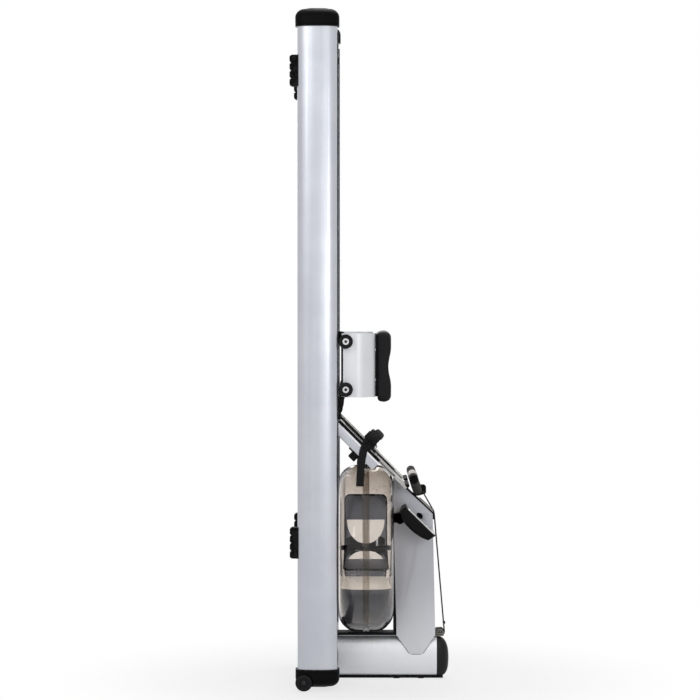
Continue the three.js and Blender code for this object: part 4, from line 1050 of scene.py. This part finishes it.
def smooth_through(points, steps=4):
    """A Catmull-Rom curve through points, with its ends kept."""
    result = []
    for i in range(len(points) - 1):
        a = Vector(points[max(i - 1, 0)])
        b, c = Vector(points[i]), Vector(points[i + 1])
        d = Vector(points[min(i + 2, len(points) - 1)])
        for k in range(steps):
            t = k / steps
            point = 0.5 * ((2 * b) + (c - a) * t + (2 * a - 5 * b + 4 * c - d) * t * t
                           + (3 * b - a - 3 * c + d) * t**3)
            result.append(tuple(point))
    return result + [tuple(points[-1])]


def button_form(across, profile, count=32):
    """A round form at a button's place; its profile is (radius, how far out of the face)."""
    return loft([[on_monitor(104 + a, across + b, out) for a, b in circle(radius, count)]
                 for radius, out in profile])


def case_ring(inset, across):
    """The case's section, pulled towards its middle by the inset."""
    centre, ring = Vector((62, -19)), []
    for point in smooth_through(CASE_BACK):
        pull = centre - Vector(point)
        along, out = Vector(point) + pull.normalized() * min(inset, pull.length * 0.8)
        ring.append(on_monitor(along, across, min(out, -1.8)))
    return ring


def face_plate(name, low, high, corner, out, material):
    """A rounded plate on the monitor's face, from out[0] to out[1]."""
    plate = prism(round_profile(rectangle(low, high), corner, 6), *out, on_monitor, 0.4)
    return detail(name, plate, material, "monitor_case")


case = dress("monitor_case", loft([case_ring(*end) for end in CASE_ENDS]), monitor_black)
carved(case, cylinder(9.2, -90, 90, about_y(ARM_X, -130, ARM_Z), 48),
       *(button_form(across, [(7.3, -9), (7.3, 4)]) for across in BUTTONS.values()))
detail("arm_collar", turned(COLLAR, about_y(ARM_X, -130, ARM_Z), 48), arm_black, "monitor_case")
bezel = face_plate("monitor_bezel", (5, -200), (126, -60), 14, (-3.6, -0.2), bright_metal)
carved(bezel, *(button_form(across, [(8.2, -6), (8.2, 6)]) for across in BUTTONS.values()))
face_plate("monitor_window", (13, -191), (88, -69), 8, (-1.6, 0.3), screen_black)
for name, across in BUTTONS.items():
    dress("monitor_button_" + name, button_form(across, BUTTON_PROFILE, 40), black_rubber)
dress("monitor_arm", turned(ARM, about_y(ARM_X, 0, ARM_Z), 48), arm_black)
for across in (-143, -117):
    bolt(f"collar_screw_{-across}", on_monitor(6, across, -29), (-0.55, 0, 0.83), 2.4,
         "monitor_case")
print("monitor:", len(case.data.vertices), "vertices")

# %% [markdown]
# The struts are square tube, open at their lower ends. Each board is a black moulding with
# raised lips, a pale plate on it, and a comb of steel teeth at its outer edge. Each heel rest is
# a thin pale plate with a grip strip, two rows of dark slots and a black heel wedge. They are all
# drawn in the slope's own frame, as a fitter would measure them.

# %% Struts, boards and heel rests
OUTER, INNER = 214.7, 40
STRUT, REST_IN, REST_OUT = 30, 46, OUTER - 6
STRUT_ENDS = ((0.9, -80), (0, -79), (0, 183), (0.6, 184), (2.4, 184), (2.8, 183.4), (2.8, 120))
WEDGE = round_profile([(290, 7.3), (301, 7.3), (304, 9.5), (303, 17), (297, 19.4), (292, 14)], 1.5)
# Each slab: how far down the slope, how far from the middle, how far out, edge and edge steps.
LIPS = (((3, 285), (INNER, OUTER), (0.3, 6.9), 0.3),
        ((4, 248), (INNER, 44), (6.2, 11.4)),
        ((3, 180), (OUTER - 1.4, OUTER), (5.5, 9.7), 0.3))
REST = (((24, 165), (REST_IN, REST_OUT), (7.0, 7.5), 0.15, 1),
        ((160, 292), (REST_IN, REST_OUT), (7.5, 8.8), 0.3))
TEETH = [((183.5 + i * 4.5, 185.2 + i * 4.5), (OUTER + 0.6, OUTER + 1.3), (5.8, 8.2), 0.1, 1)
         for i in range(14)]
SLOTS = [((168 + i * 6.3, 171.4 + i * 6.3), reach, (8.6, 9.1), 0.1, 1) for i in range(13)
         for reach in ((REST_IN + 2, REST_IN + 30), (REST_OUT - 30, REST_OUT - 2))]
CATCH = [(down, (209.5, 212.5), out, 0.5) for down, out in (
    ((149, 151.6), (5.5, 19)), ((162, 164.6), (5.5, 16)), ((149, 160), (16.4, 19)),
    ((158, 164.6), (14.6, 17.2)))]
SLOPE_PIECES = (
    # A strip of the pale column silver along each strut's outer top edge: a painted highlight.
    ("strut_edge_", "foot_strut_", column_metal_painted_light,
     [((-78, 183.5), (OUTER - 2, OUTER + 0.3), (-5, 0.1), 1.1, 3)]),
    ("board_fold_", "foot_board_", grey_plastic,
     [((4, 180), (OUTER - 3, OUTER - 1.5), (6.9, 9.6), 0.1, 1)]),
    ("board_plate_", "foot_board_", grey_plastic,
     [((4, 284), (44.2, OUTER - 0.5), (6.6, 6.98), 0.1)]),
    ("board_flank_", "foot_board_", grey_plastic,
     [((180, 300), (OUTER - 5.6, OUTER + 0.4), (0.5, 8.2), 0.3)]),
    ("comb_ground_", "foot_board_", black_plastic,
     [((181, 247), (OUTER + 0.2, OUTER + 0.8), (3.4, 8.1), 0.1, 1)]),
    ("comb_teeth_", "foot_board_", bright_metal, TEETH),
    ("rest_catch_", "foot_board_", dark_steel, CATCH),
    ("grip_strip_", "heel_rest_", black_rubber, [((26, 163), (58, 116), (7.4, 7.9), 0.1, 1)]),
    ("notch_rack_", "heel_rest_", black_plastic, SLOTS))


def slabs(side, sizes):
    return joined(*(slab(side, *size) for size in sizes))


def strut_ring(side, inset, down):
    near, far = spread(side, OUTER - STRUT, OUTER)
    square = rectangle((near + inset, -STRUT + inset), (far - inset, -inset))
    return [on_slope(down, y, out) for y, out in round_profile(square, 3.2 - inset * 0.5, 4)]


def slope_bar(low, high, across, width):
    return prism(round_profile(rectangle(low, high), width), *across, along_slope, 0.8)


for side_name, side in sides:
    rest = "heel_rest_" + side_name
    dress("foot_strut_" + side_name, loft([strut_ring(side, *end) for end in STRUT_ENDS]),
          rail_metal)
    dress("foot_board_" + side_name, slabs(side, LIPS), black_plastic)
    dress(rest, slabs(side, REST), grey_plastic)
    for name, near, material, sizes in SLOPE_PIECES:
        detail(name + side_name, slabs(side, sizes), material, near + side_name)
    detail("heel_wedge_" + side_name,
           prism(WEDGE, *spread(side, REST_IN + 0.5, REST_OUT - 0.5), along_slope, 0.8),
           black_rubber, rest)
    bolt("heel_screw_" + side_name, on_slope(266, side * 128, 8.8), (DIAGONAL, 0, DIAGONAL), 5,
         rest, bright_metal, 0.3)
bar = [slope_bar((99.5, -53), (125, -30.3), (-OUTER, -OUTER + STRUT), 2.5),
       slope_bar((99.5, -53), (125, -30.3), (OUTER - STRUT, OUTER), 2.5),
       slope_bar((120, -40), (129, -31), (-OUTER + 29, OUTER - 29), 3)]
dress("foot_cross_bar", joined(*bar), black_powder)
print("struts, boards and heel rests")

# %% [markdown]
# A strap is woven tape: flat, a little thicker at its two sewn edges, and bent only across its
# flat side. Cloth simulation would turn so narrow a band to noise, so its path is drawn and the
# section follows it. The sleeve on the arch is padded, which the photograph shows as a round end.

# %% Foot straps
SLOPE_DOWN = Vector((DIAGONAL, 0, -DIAGONAL))
STRAP_PLACE, STRAP_FOOT = 124, 10.3
TAILS = {-1: [(116, 188, 63), (108, 206, 50), (107, 215, 36), (112, 218, 12), (131, 218, -20),
              (156, 218, -53), (193, 218, -94)],
         1: [(124, 190, 48), (124, 208, 42), (123, 215, 32), (122, 218, 10), (133, 218, -20),
             (156, 218, -53), (193, 218, -94)]}
BUCKLE = [(down, (OUTER + 3.4, OUTER + 5.8), out, 0.6) for down, out in (
    ((109, 112), (14, 36)), ((136, 139), (14, 36)), ((110, 138), (14, 16.6)),
    ((110, 138), (24, 26.6)), ((110, 138), (34, 36.6)))]


def tape_section(width, thickness):
    """Half-round edges and slightly raised selvedges."""
    half, t = width / 2, thickness / 2
    top = [(-half, 0), (-half + 0.5, t * 0.85), (-half + 1.6, t), (-half + 2.6, t * 0.8),
           (half - 2.6, t * 0.8), (half - 1.6, t), (half - 0.5, t * 0.85), (half, 0)]
    return top + [(a, -b) for a, b in reversed(top[1:-1])]


def bent(value, power):
    """A power of a number that keeps its sign."""
    return math.copysign(abs(value) ** power, value)


def swept(path, section, size=lambda t: (1, 1)):
    """Carries a section along a path on the slope; size stretches it on the way, t is 0 to 1."""
    rings = []
    for i, point in enumerate(path):
        run = Vector(path[min(i + 1, len(path) - 1)]) - Vector(path[max(i - 1, 0)])
        run.normalize()
        across = (SLOPE_DOWN - run * SLOPE_DOWN.dot(run)).normalized()
        face = run.cross(across)
        wide, high = size(i / (len(path) - 1))
        rings.append([tuple(Vector(point) + across * a * wide + face * b * high)
                      for a, b in section])
    return loft(rings)


def arch_path(side, top):
    inner, outer = INNER - 1.3, OUTER + 1.3
    middle, reach = (inner + outer) / 2, (outer - inner) / 2
    points = [(side * inner, 2), (side * inner, 6)]
    points += [(side * (middle - reach * bent(cos, 0.7)),
                STRAP_FOOT + (top - STRAP_FOOT) * bent(sin, 0.7)) for cos, sin in arc(28, 1)]
    points += [(side * outer, 6), (side * outer, 2)]
    return [on_slope(STRAP_PLACE, across, out) for across, out in points]


def padding(t):
    """The sleeve's width and thickness, which fall off at both ends."""
    fill = 0.55 + 0.45 * min(1, 7 * t, 7 * (1 - t)) ** 0.5
    return 0.9 + 0.1 * fill, fill


for side_name, side in sides:
    strap = "foot_strap_" + side_name
    arch = arch_path(side, 68 if side < 0 else 49)
    tail = [on_slope(down, side * across, out)
            for down, across, out in smooth_through(TAILS[side], 6)]
    dress(strap, joined(*(swept(path, tape_section(24, 2)) for path in (arch, tail))), webbing)
    section = [(14.2 * bent(a, 0.8), 4.4 * bent(b, 0.8)) for a, b in circle(1, 24)]
    pad = detail("strap_pad_" + side_name, swept(arch[9:-9], section, padding), webbing, strap, 60)
    detail("strap_buckle_" + side_name, slabs(side, BUCKLE), black_plastic, strap)
print("straps")

# %% [markdown]
# The seat rides on a bent aluminium sheet. Its side flanges end in a black edge trim, and the
# four wheels run on shoulder bolts with a bright washer and a dark socket, as the photograph
# shows.

# %% Seat carriage and wheels
TRACK_TOP = -104 + 0.3 + 3
SEAT_WHEEL_X, SEAT_WHEEL_Y = TRACK_TOP + 0.3 + 22.4, 238
SEAT_TYRE = [(5.1, 1.5), (13.5, 1.5), (14.5, 0), (19.6, 0), (21.4, 0.6), (22.4, 2.4),
             (22.4, 21.6), (21.4, 23.4), (19.6, 24), (15, 24), (14.2, 23), (13.4, 22.4),
             (5.1, 22.4), (5.1, 1.5)]
WASHER = [(4.4, 22.5), (10.2, 22.5), (10.2, 23.6), (9.4, 24.2), (5.4, 24.2), (4.4, 23.4),
          (4.4, 22.5)]
AXLE = [(0, -15), (5, -15), (5, -1), (7.5, -1), (7.5, 1.2), (5, 1.2), (5, 22), (4.2, 22),
        (4.2, 23), (2.4, 23.2), (2.2, 20), (0, 20)]
NUT = [(0, -20.6), (8, -20.6), (8.4, -20), (8.4, -16), (0, -16)]
HOOK = round_profile([(-87, 1065), (-87, 1112), (-100, 1113.7), (-112, 1113.7), (-112, 1089),
                      (-91, 1077)], 3)


def carriage_outline(shift):
    """The bent sheet's outside (shift 0) or inside (shift 4), one way round."""
    low, high, half, bend = -91, 14.2, 226, 60
    radius = bend - shift
    pairs = [(low, half - shift)]
    pairs += [(high - bend + radius * sin, half - bend + radius * cos) for cos, sin in arc(18)]
    return pairs + [(x, -y) for x, y in reversed(pairs)]


sheet_outline = carriage_outline(0) + carriage_outline(4)[::-1]
dress("seat_carriage", prism(sheet_outline, 912.5, 1112.5, up_z, 0.7), carriage_metal)
for side_name, side in sides:
    near, far = spread(side, 220.6, 227.4)
    trim = round_profile(rectangle((-92.6, near), (-86.2, far)), 1.5)
    detail("carriage_trim_" + side_name, prism(trim, 920, 1104, up_z, 0.6), black_plastic,
           "seat_carriage")
    detail("seat_hook_" + side_name, prism(HOOK, *spread(side, 217, 222.2), across_y, 0.6),
           black_powder, "seat_carriage")
    for end, z in (("front", 937.6), ("rear", 1087.4)):
        place = about_y(SEAT_WHEEL_X, side * SEAT_WHEEL_Y, z, side)
        dress(f"seat_wheel_{end}_{side_name}", turned(SEAT_TYRE, place), tread_rubber)
        for name, profile, segments, material in (
                ("washer", WASHER, 48, bright_metal), ("axle", AXLE, 32, dark_steel),
                ("nut", NUT, 6, dark_steel)):
            detail(f"wheel_{name}_{end}_{side_name}", turned(profile, place, segments), material,
                   "seat_carriage")
    for z in (965, 1060):
        bolt(f"carriage_bolt_{side_name}_{z}", (14.2, side * 152, z), (1, 0, 0), 5,
             "seat_carriage", bright_metal)
tray = round_profile(rectangle((-140, 911.5), (140, 1110.5)), 16, 6)
dress("seat_tray", prism(tray, 14.5, 21.5, along_x, 1.2, 3), black_plastic)
print("carriage, wheels and tray")

# %% [markdown]
# The cushion is moulded foam under a tight hide: two crowns with a dip between them. Its form is
# lofted first, then a short cloth simulation with air pressure rounds it the way stuffing does,
# with each point's move capped.

# %% Cushion
BASE_X, CUSHION_Z, CUSHION_HALF = 21.8, 1006.0, 112.4
CORNER, CUSHION_RISE, CROWN_DIP = 24, 43, 10


def cushion_ring(across, share, points=44, bottom=20):
    """One section of the cushion; share is its height from 0 at the ends to 1."""
    turn_in = max(0, abs(across) - 125.4)
    half = CUSHION_HALF - CORNER + math.sqrt(CORNER**2 - turn_in**2)
    rise = CUSHION_RISE * (0.84 + 0.16 * share) - 0.8
    ring = []
    for i in range(points):
        along = -1 + 2 * i / (points - 1)
        z = along * (half - 4.5)
        dip = math.cos(math.pi / 2 * min(1, abs(z) / 62))
        ring.append((rise - CROWN_DIP * share * max(0, dip) ** 2 - abs(along) ** 26 * 5, z))
    ring += [(rise * 0.55, half), (4, half - 2), (0.6, half - 8)]
    ring += [(0.3, (half - 8) * (1 - 2 * i / bottom)) for i in range(1, bottom)]
    ring += [(0.6, 8 - half), (4, 2 - half), (rise * 0.55, -half)]
    return [(BASE_X + x, across, CUSHION_Z + z) for x, z in ring]


def puffed(obj, pressure, frames, cap):
    """Remeshes a closed form, inflates it as cloth and keeps each point within cap metres."""
    remesh = obj.modifiers.new("even", "REMESH")
    remesh.mode = "VOXEL"
    remesh.voxel_size = 0.004
    even = bpy.data.meshes.new_from_object(evaluated(obj))
    obj.modifiers.clear()
    obj.data = even
    start = [vertex.co.copy() for vertex in even.vertices]
    cloth = obj.modifiers.new("cloth", "CLOTH")
    cloth.settings.use_pressure = True
    cloth.settings.uniform_pressure_force = pressure
    cloth.settings.tension_stiffness = 30
    cloth.settings.bending_stiffness = 4
    cloth.settings.effector_weights.gravity = 0
    cloth.point_cache.frame_start = 1
    cloth.point_cache.frame_end = frames
    for number in range(1, frames + 1):
        bpy.context.scene.frame_set(number)
    result = obj.evaluated_get(bpy.context.evaluated_depsgraph_get()).to_mesh()
    moved = [vertex.co.copy() for vertex in result.vertices]
    obj.modifiers.clear()
    bpy.context.scene.frame_set(1)
    for vertex, before, after in zip(even.vertices, start, moved):
        step = after - before
        if step.length > cap:
            step = step.normalized() * cap
        vertex.co = before + step
    bm = bmesh.new()
    bm.from_mesh(even)
    for _ in range(2):
        bmesh.ops.smooth_vert(bm, verts=bm.verts, factor=0.35, use_axis_x=True, use_axis_y=True,
                              use_axis_z=True)
    for vertex in bm.verts:
        vertex.co.x = max(vertex.co.x, BASE_X * MM)
    bm.to_mesh(even)
    bm.free()
    even.shade_smooth()
    even.materials.clear()
    even.materials.append(seat_hide)


rings = [cushion_ring(-149.4 * cos, max(sin, 0.0) ** 0.22) for cos, sin in arc(40, 1)]
cushion = dress("seat_cushion", loft(rings), seat_hide, 60)
puffed(cushion, 4.0, 14, 0.0018)
low, high = cushion.bound_box[0], cushion.bound_box[6]
print("cushion", [round(v, 4) for v in low], [round(v, 4) for v in high])

# %% [markdown]
# Piping is a cord sewn into the seam. It follows the cushion's foot a few millimetres above the
# tray, so its path is a rounded rectangle.

# %% Piping
UP_X = Vector((1, 0, 0))
seam = round_profile(rectangle((-138, 905), (138, 1107)), 34, 12)
path = [Vector((24.2, y, z)) for y, z in seam]
rings = []
for i, here in enumerate(path):
    run = (path[(i + 1) % len(path)] - path[i - 1]).normalized()
    side_way = run.cross(UP_X).normalized()
    rings.append([tuple(here + UP_X * a + side_way * b) for a, b in circle(1.6, 10)])
detail("cushion_piping", loft(rings, closed=True), seat_hide, "seat_cushion", 60)
print("piping", len(path), "stations")

# %% [markdown]
# The seat stops are wedges of hard rubber with shallow cross ribs, screwed through the tracks.

# %% Seat stops
STOP_TOP, STOP_X = 915.2, TRACK_TOP + 0.3
STOP = round_profile([(STOP_X + x, STOP_TOP - down) for x, down in (
    (0, 0), (0, 70), (7.7, 70), (8, 50), (16.9, 20), (17.2, 0))], 2.4)
for side_name, side in sides:
    near, far = spread(side, 238, 262)
    parts = [prism(STOP, near, far, across_y, 0.9)]
    for i in range(4):
        x, z = STOP_X + 16.9 - (6 + i * 6) * 0.297, STOP_TOP - 26 - i * 6
        parts.append(block((x - 2, near + 3, z - 1), (x + 0.9, far - 3, z + 1), width=0.3))
    dress("seat_stop_" + side_name, joined(*parts), black_rubber)
    bolt("stop_bolt_" + side_name, (STOP_X + 7.8, side * RAIL_Y, STOP_TOP - 60), (1, 0, 0), 4.5,
         "seat_stop_" + side_name)
print("seat stops")

# %% [markdown]
# The grips are foam sleeves on a bent bar, thicker at the middle, closed with a dark end plug. The
# yoke is a moulded clamp that holds the bar and the belt.

# %% Handle
HANDLE = Vector((152, 0, 602.2))
RING = [(13.3, 16.2), (15, 16.2), (15.3, 17), (15.3, 20), (15, 20.8), (13.3, 20.8), (13.3, 16.2)]
# These two profiles are (radius, distance back from the grip's tip).
END_PLUG = [(0, 11.7), (12.6, 11.7), (13.6, 11), (13.8, 5), (13.2, 3), (11.6, 1.6), (7, 0.9),
            (6.2, 1.6), (0, 1.8)]
SLEEVE = [(14.6, 84), (15.5, 84), (15.8, 83), (15.8, 52), (15.5, 51), (14.6, 51), (14.6, 84)]
for side_name, side in sides:
    root = HANDLE + Vector((0, side * 22, 0))
    tip = HANDLE + Vector((-18, side * 225, 55))
    length = (tip - root).length
    on_grip = turned_to(root, (tip - root).normalized())
    profile = [(0, 0), (12.2, 0), (12.6, 3), (13.2, 5), (13.4, 14), (14.4, 16)]
    profile += [(14.4 + 0.6 * sin, 18 + (length - 32) * i / 12)
                for i, (_, sin) in enumerate(arc(12, 1))]
    profile += [(14, length - 12.6), (13, length - 11.8), (0, length - 11.8)]
    dress("grip_" + side_name, turned(profile, on_grip, 48), foam_skin)
    pieces = [("plug", [(r, length - back) for r, back in END_PLUG], black_rubber),
              ("ring", RING, black_rubber)]
    if side > 0:
        pieces.append(("sleeve", [(r, length - back) for r, back in SLEEVE], grey_plastic))
    for name, profile, material in pieces:
        detail(f"grip_{name}_{side_name}", turned(profile, on_grip, 48), material,
               "grip_" + side_name)
edged("handle_yoke", black_plastic, 1.2, 3)
for side in (-1, 1):
    bolt(f"yoke_bolt_{side + 1}", (171, side * 14, 598), (0, side, 0), 4, "handle_yoke")
print("handle")

# %% [markdown]
# The belt is grey woven tape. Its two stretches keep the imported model's path, and the pulley and
# its bracket get turned and rounded forms.

# %% Belt, pulley and bracket
PULLEY_X, PULLEY_Z = 225, 150
SHEAVE = [(4.1, -13.8), (11, -13.8), (11.8, -13), (11.8, -12.2), (10.4, -11.3), (10.2, -10.6),
          (10.2, 10.6), (10.4, 11.3), (11.8, 12.2), (11.8, 13), (11, 13.8), (4.1, 13.8),
          (4.1, -13.8)]
CHEEK = round_profile([(211, 136.5), (236, 136.5), (236, 152), (231, 159.5), (211, 159.5)], 2)


def swell(obj, distance):
    """Moves each point outwards, so that thin tape has the fullness of a woven one."""
    normals = [vertex.normal.copy() for vertex in obj.data.vertices]
    for vertex, normal in zip(obj.data.vertices, normals):
        vertex.co += normal * distance


swell(edged("belt_loop", belt_webbing, 0.2, 2, 60), 1.1 * MM)

# On the real machine the run's upper end follows the handle and its lower end stays at the guide,
# so the belt pays out from the drum as the handle is pulled. Here the run is attached to no body,
# and its place is baked into its mesh.
belt_run = edged("belt_run", belt_webbing, 0.2, 2, 60, rides=False)
swell(belt_run, 1.1 * MM)
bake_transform(belt_run)
buckle = [block((233.6, -12, 175), (240.4, 12, 182), width=1.5),
          block((232.8, -9, 177), (241.2, 9, 180), width=1)]
detail("belt_buckle", joined(*buckle), black_plastic, "belt_loop")
dress("front_pulley", turned(SHEAVE, about_y(PULLEY_X, 0, PULLEY_Z)), black_plastic)
edged("pulley_bracket", brown_grey, 0.5)
for side_name, side in sides:
    detail("bracket_cheek_" + side_name, prism(CHEEK, *spread(side, 17.2, 18.8), across_y, 0.4),
           brown_grey, "pulley_bracket")
    near, far = spread(side, 18.4, 19.4)
    ribs = [block((212, near, z), (233, far, z + 2.4), width=0.3) for z in (140, 146, 152)]
    near, far = spread(side, 17, 19.2)
    ribs.append(block((211, near, 158.2), (232, far, 160.4), width=0.4))
    detail("bracket_ribs_" + side_name, joined(*ribs), dark_steel, "pulley_bracket")
    bolt(f"pulley_bolt_{side + 1}", (PULLEY_X, side * 17.1, PULLEY_Z), (0, side, 0), 5.5,
         "pulley_bracket")
print("belt and pulley")

# %% [markdown]
# The imported model's box and the finished model's box are printed side by side, so that the two
# can be compared.

# %% Size of the model, and the view transform
scene = bpy.context.scene
scene.view_settings.view_transform = "Standard"
bpy.context.view_layer.update()
visual_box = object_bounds()
sizes = {"cad": [list(corner) for corner in cad_box], "visual": [list(corner) for corner in visual_box]}
print("size", sizes)
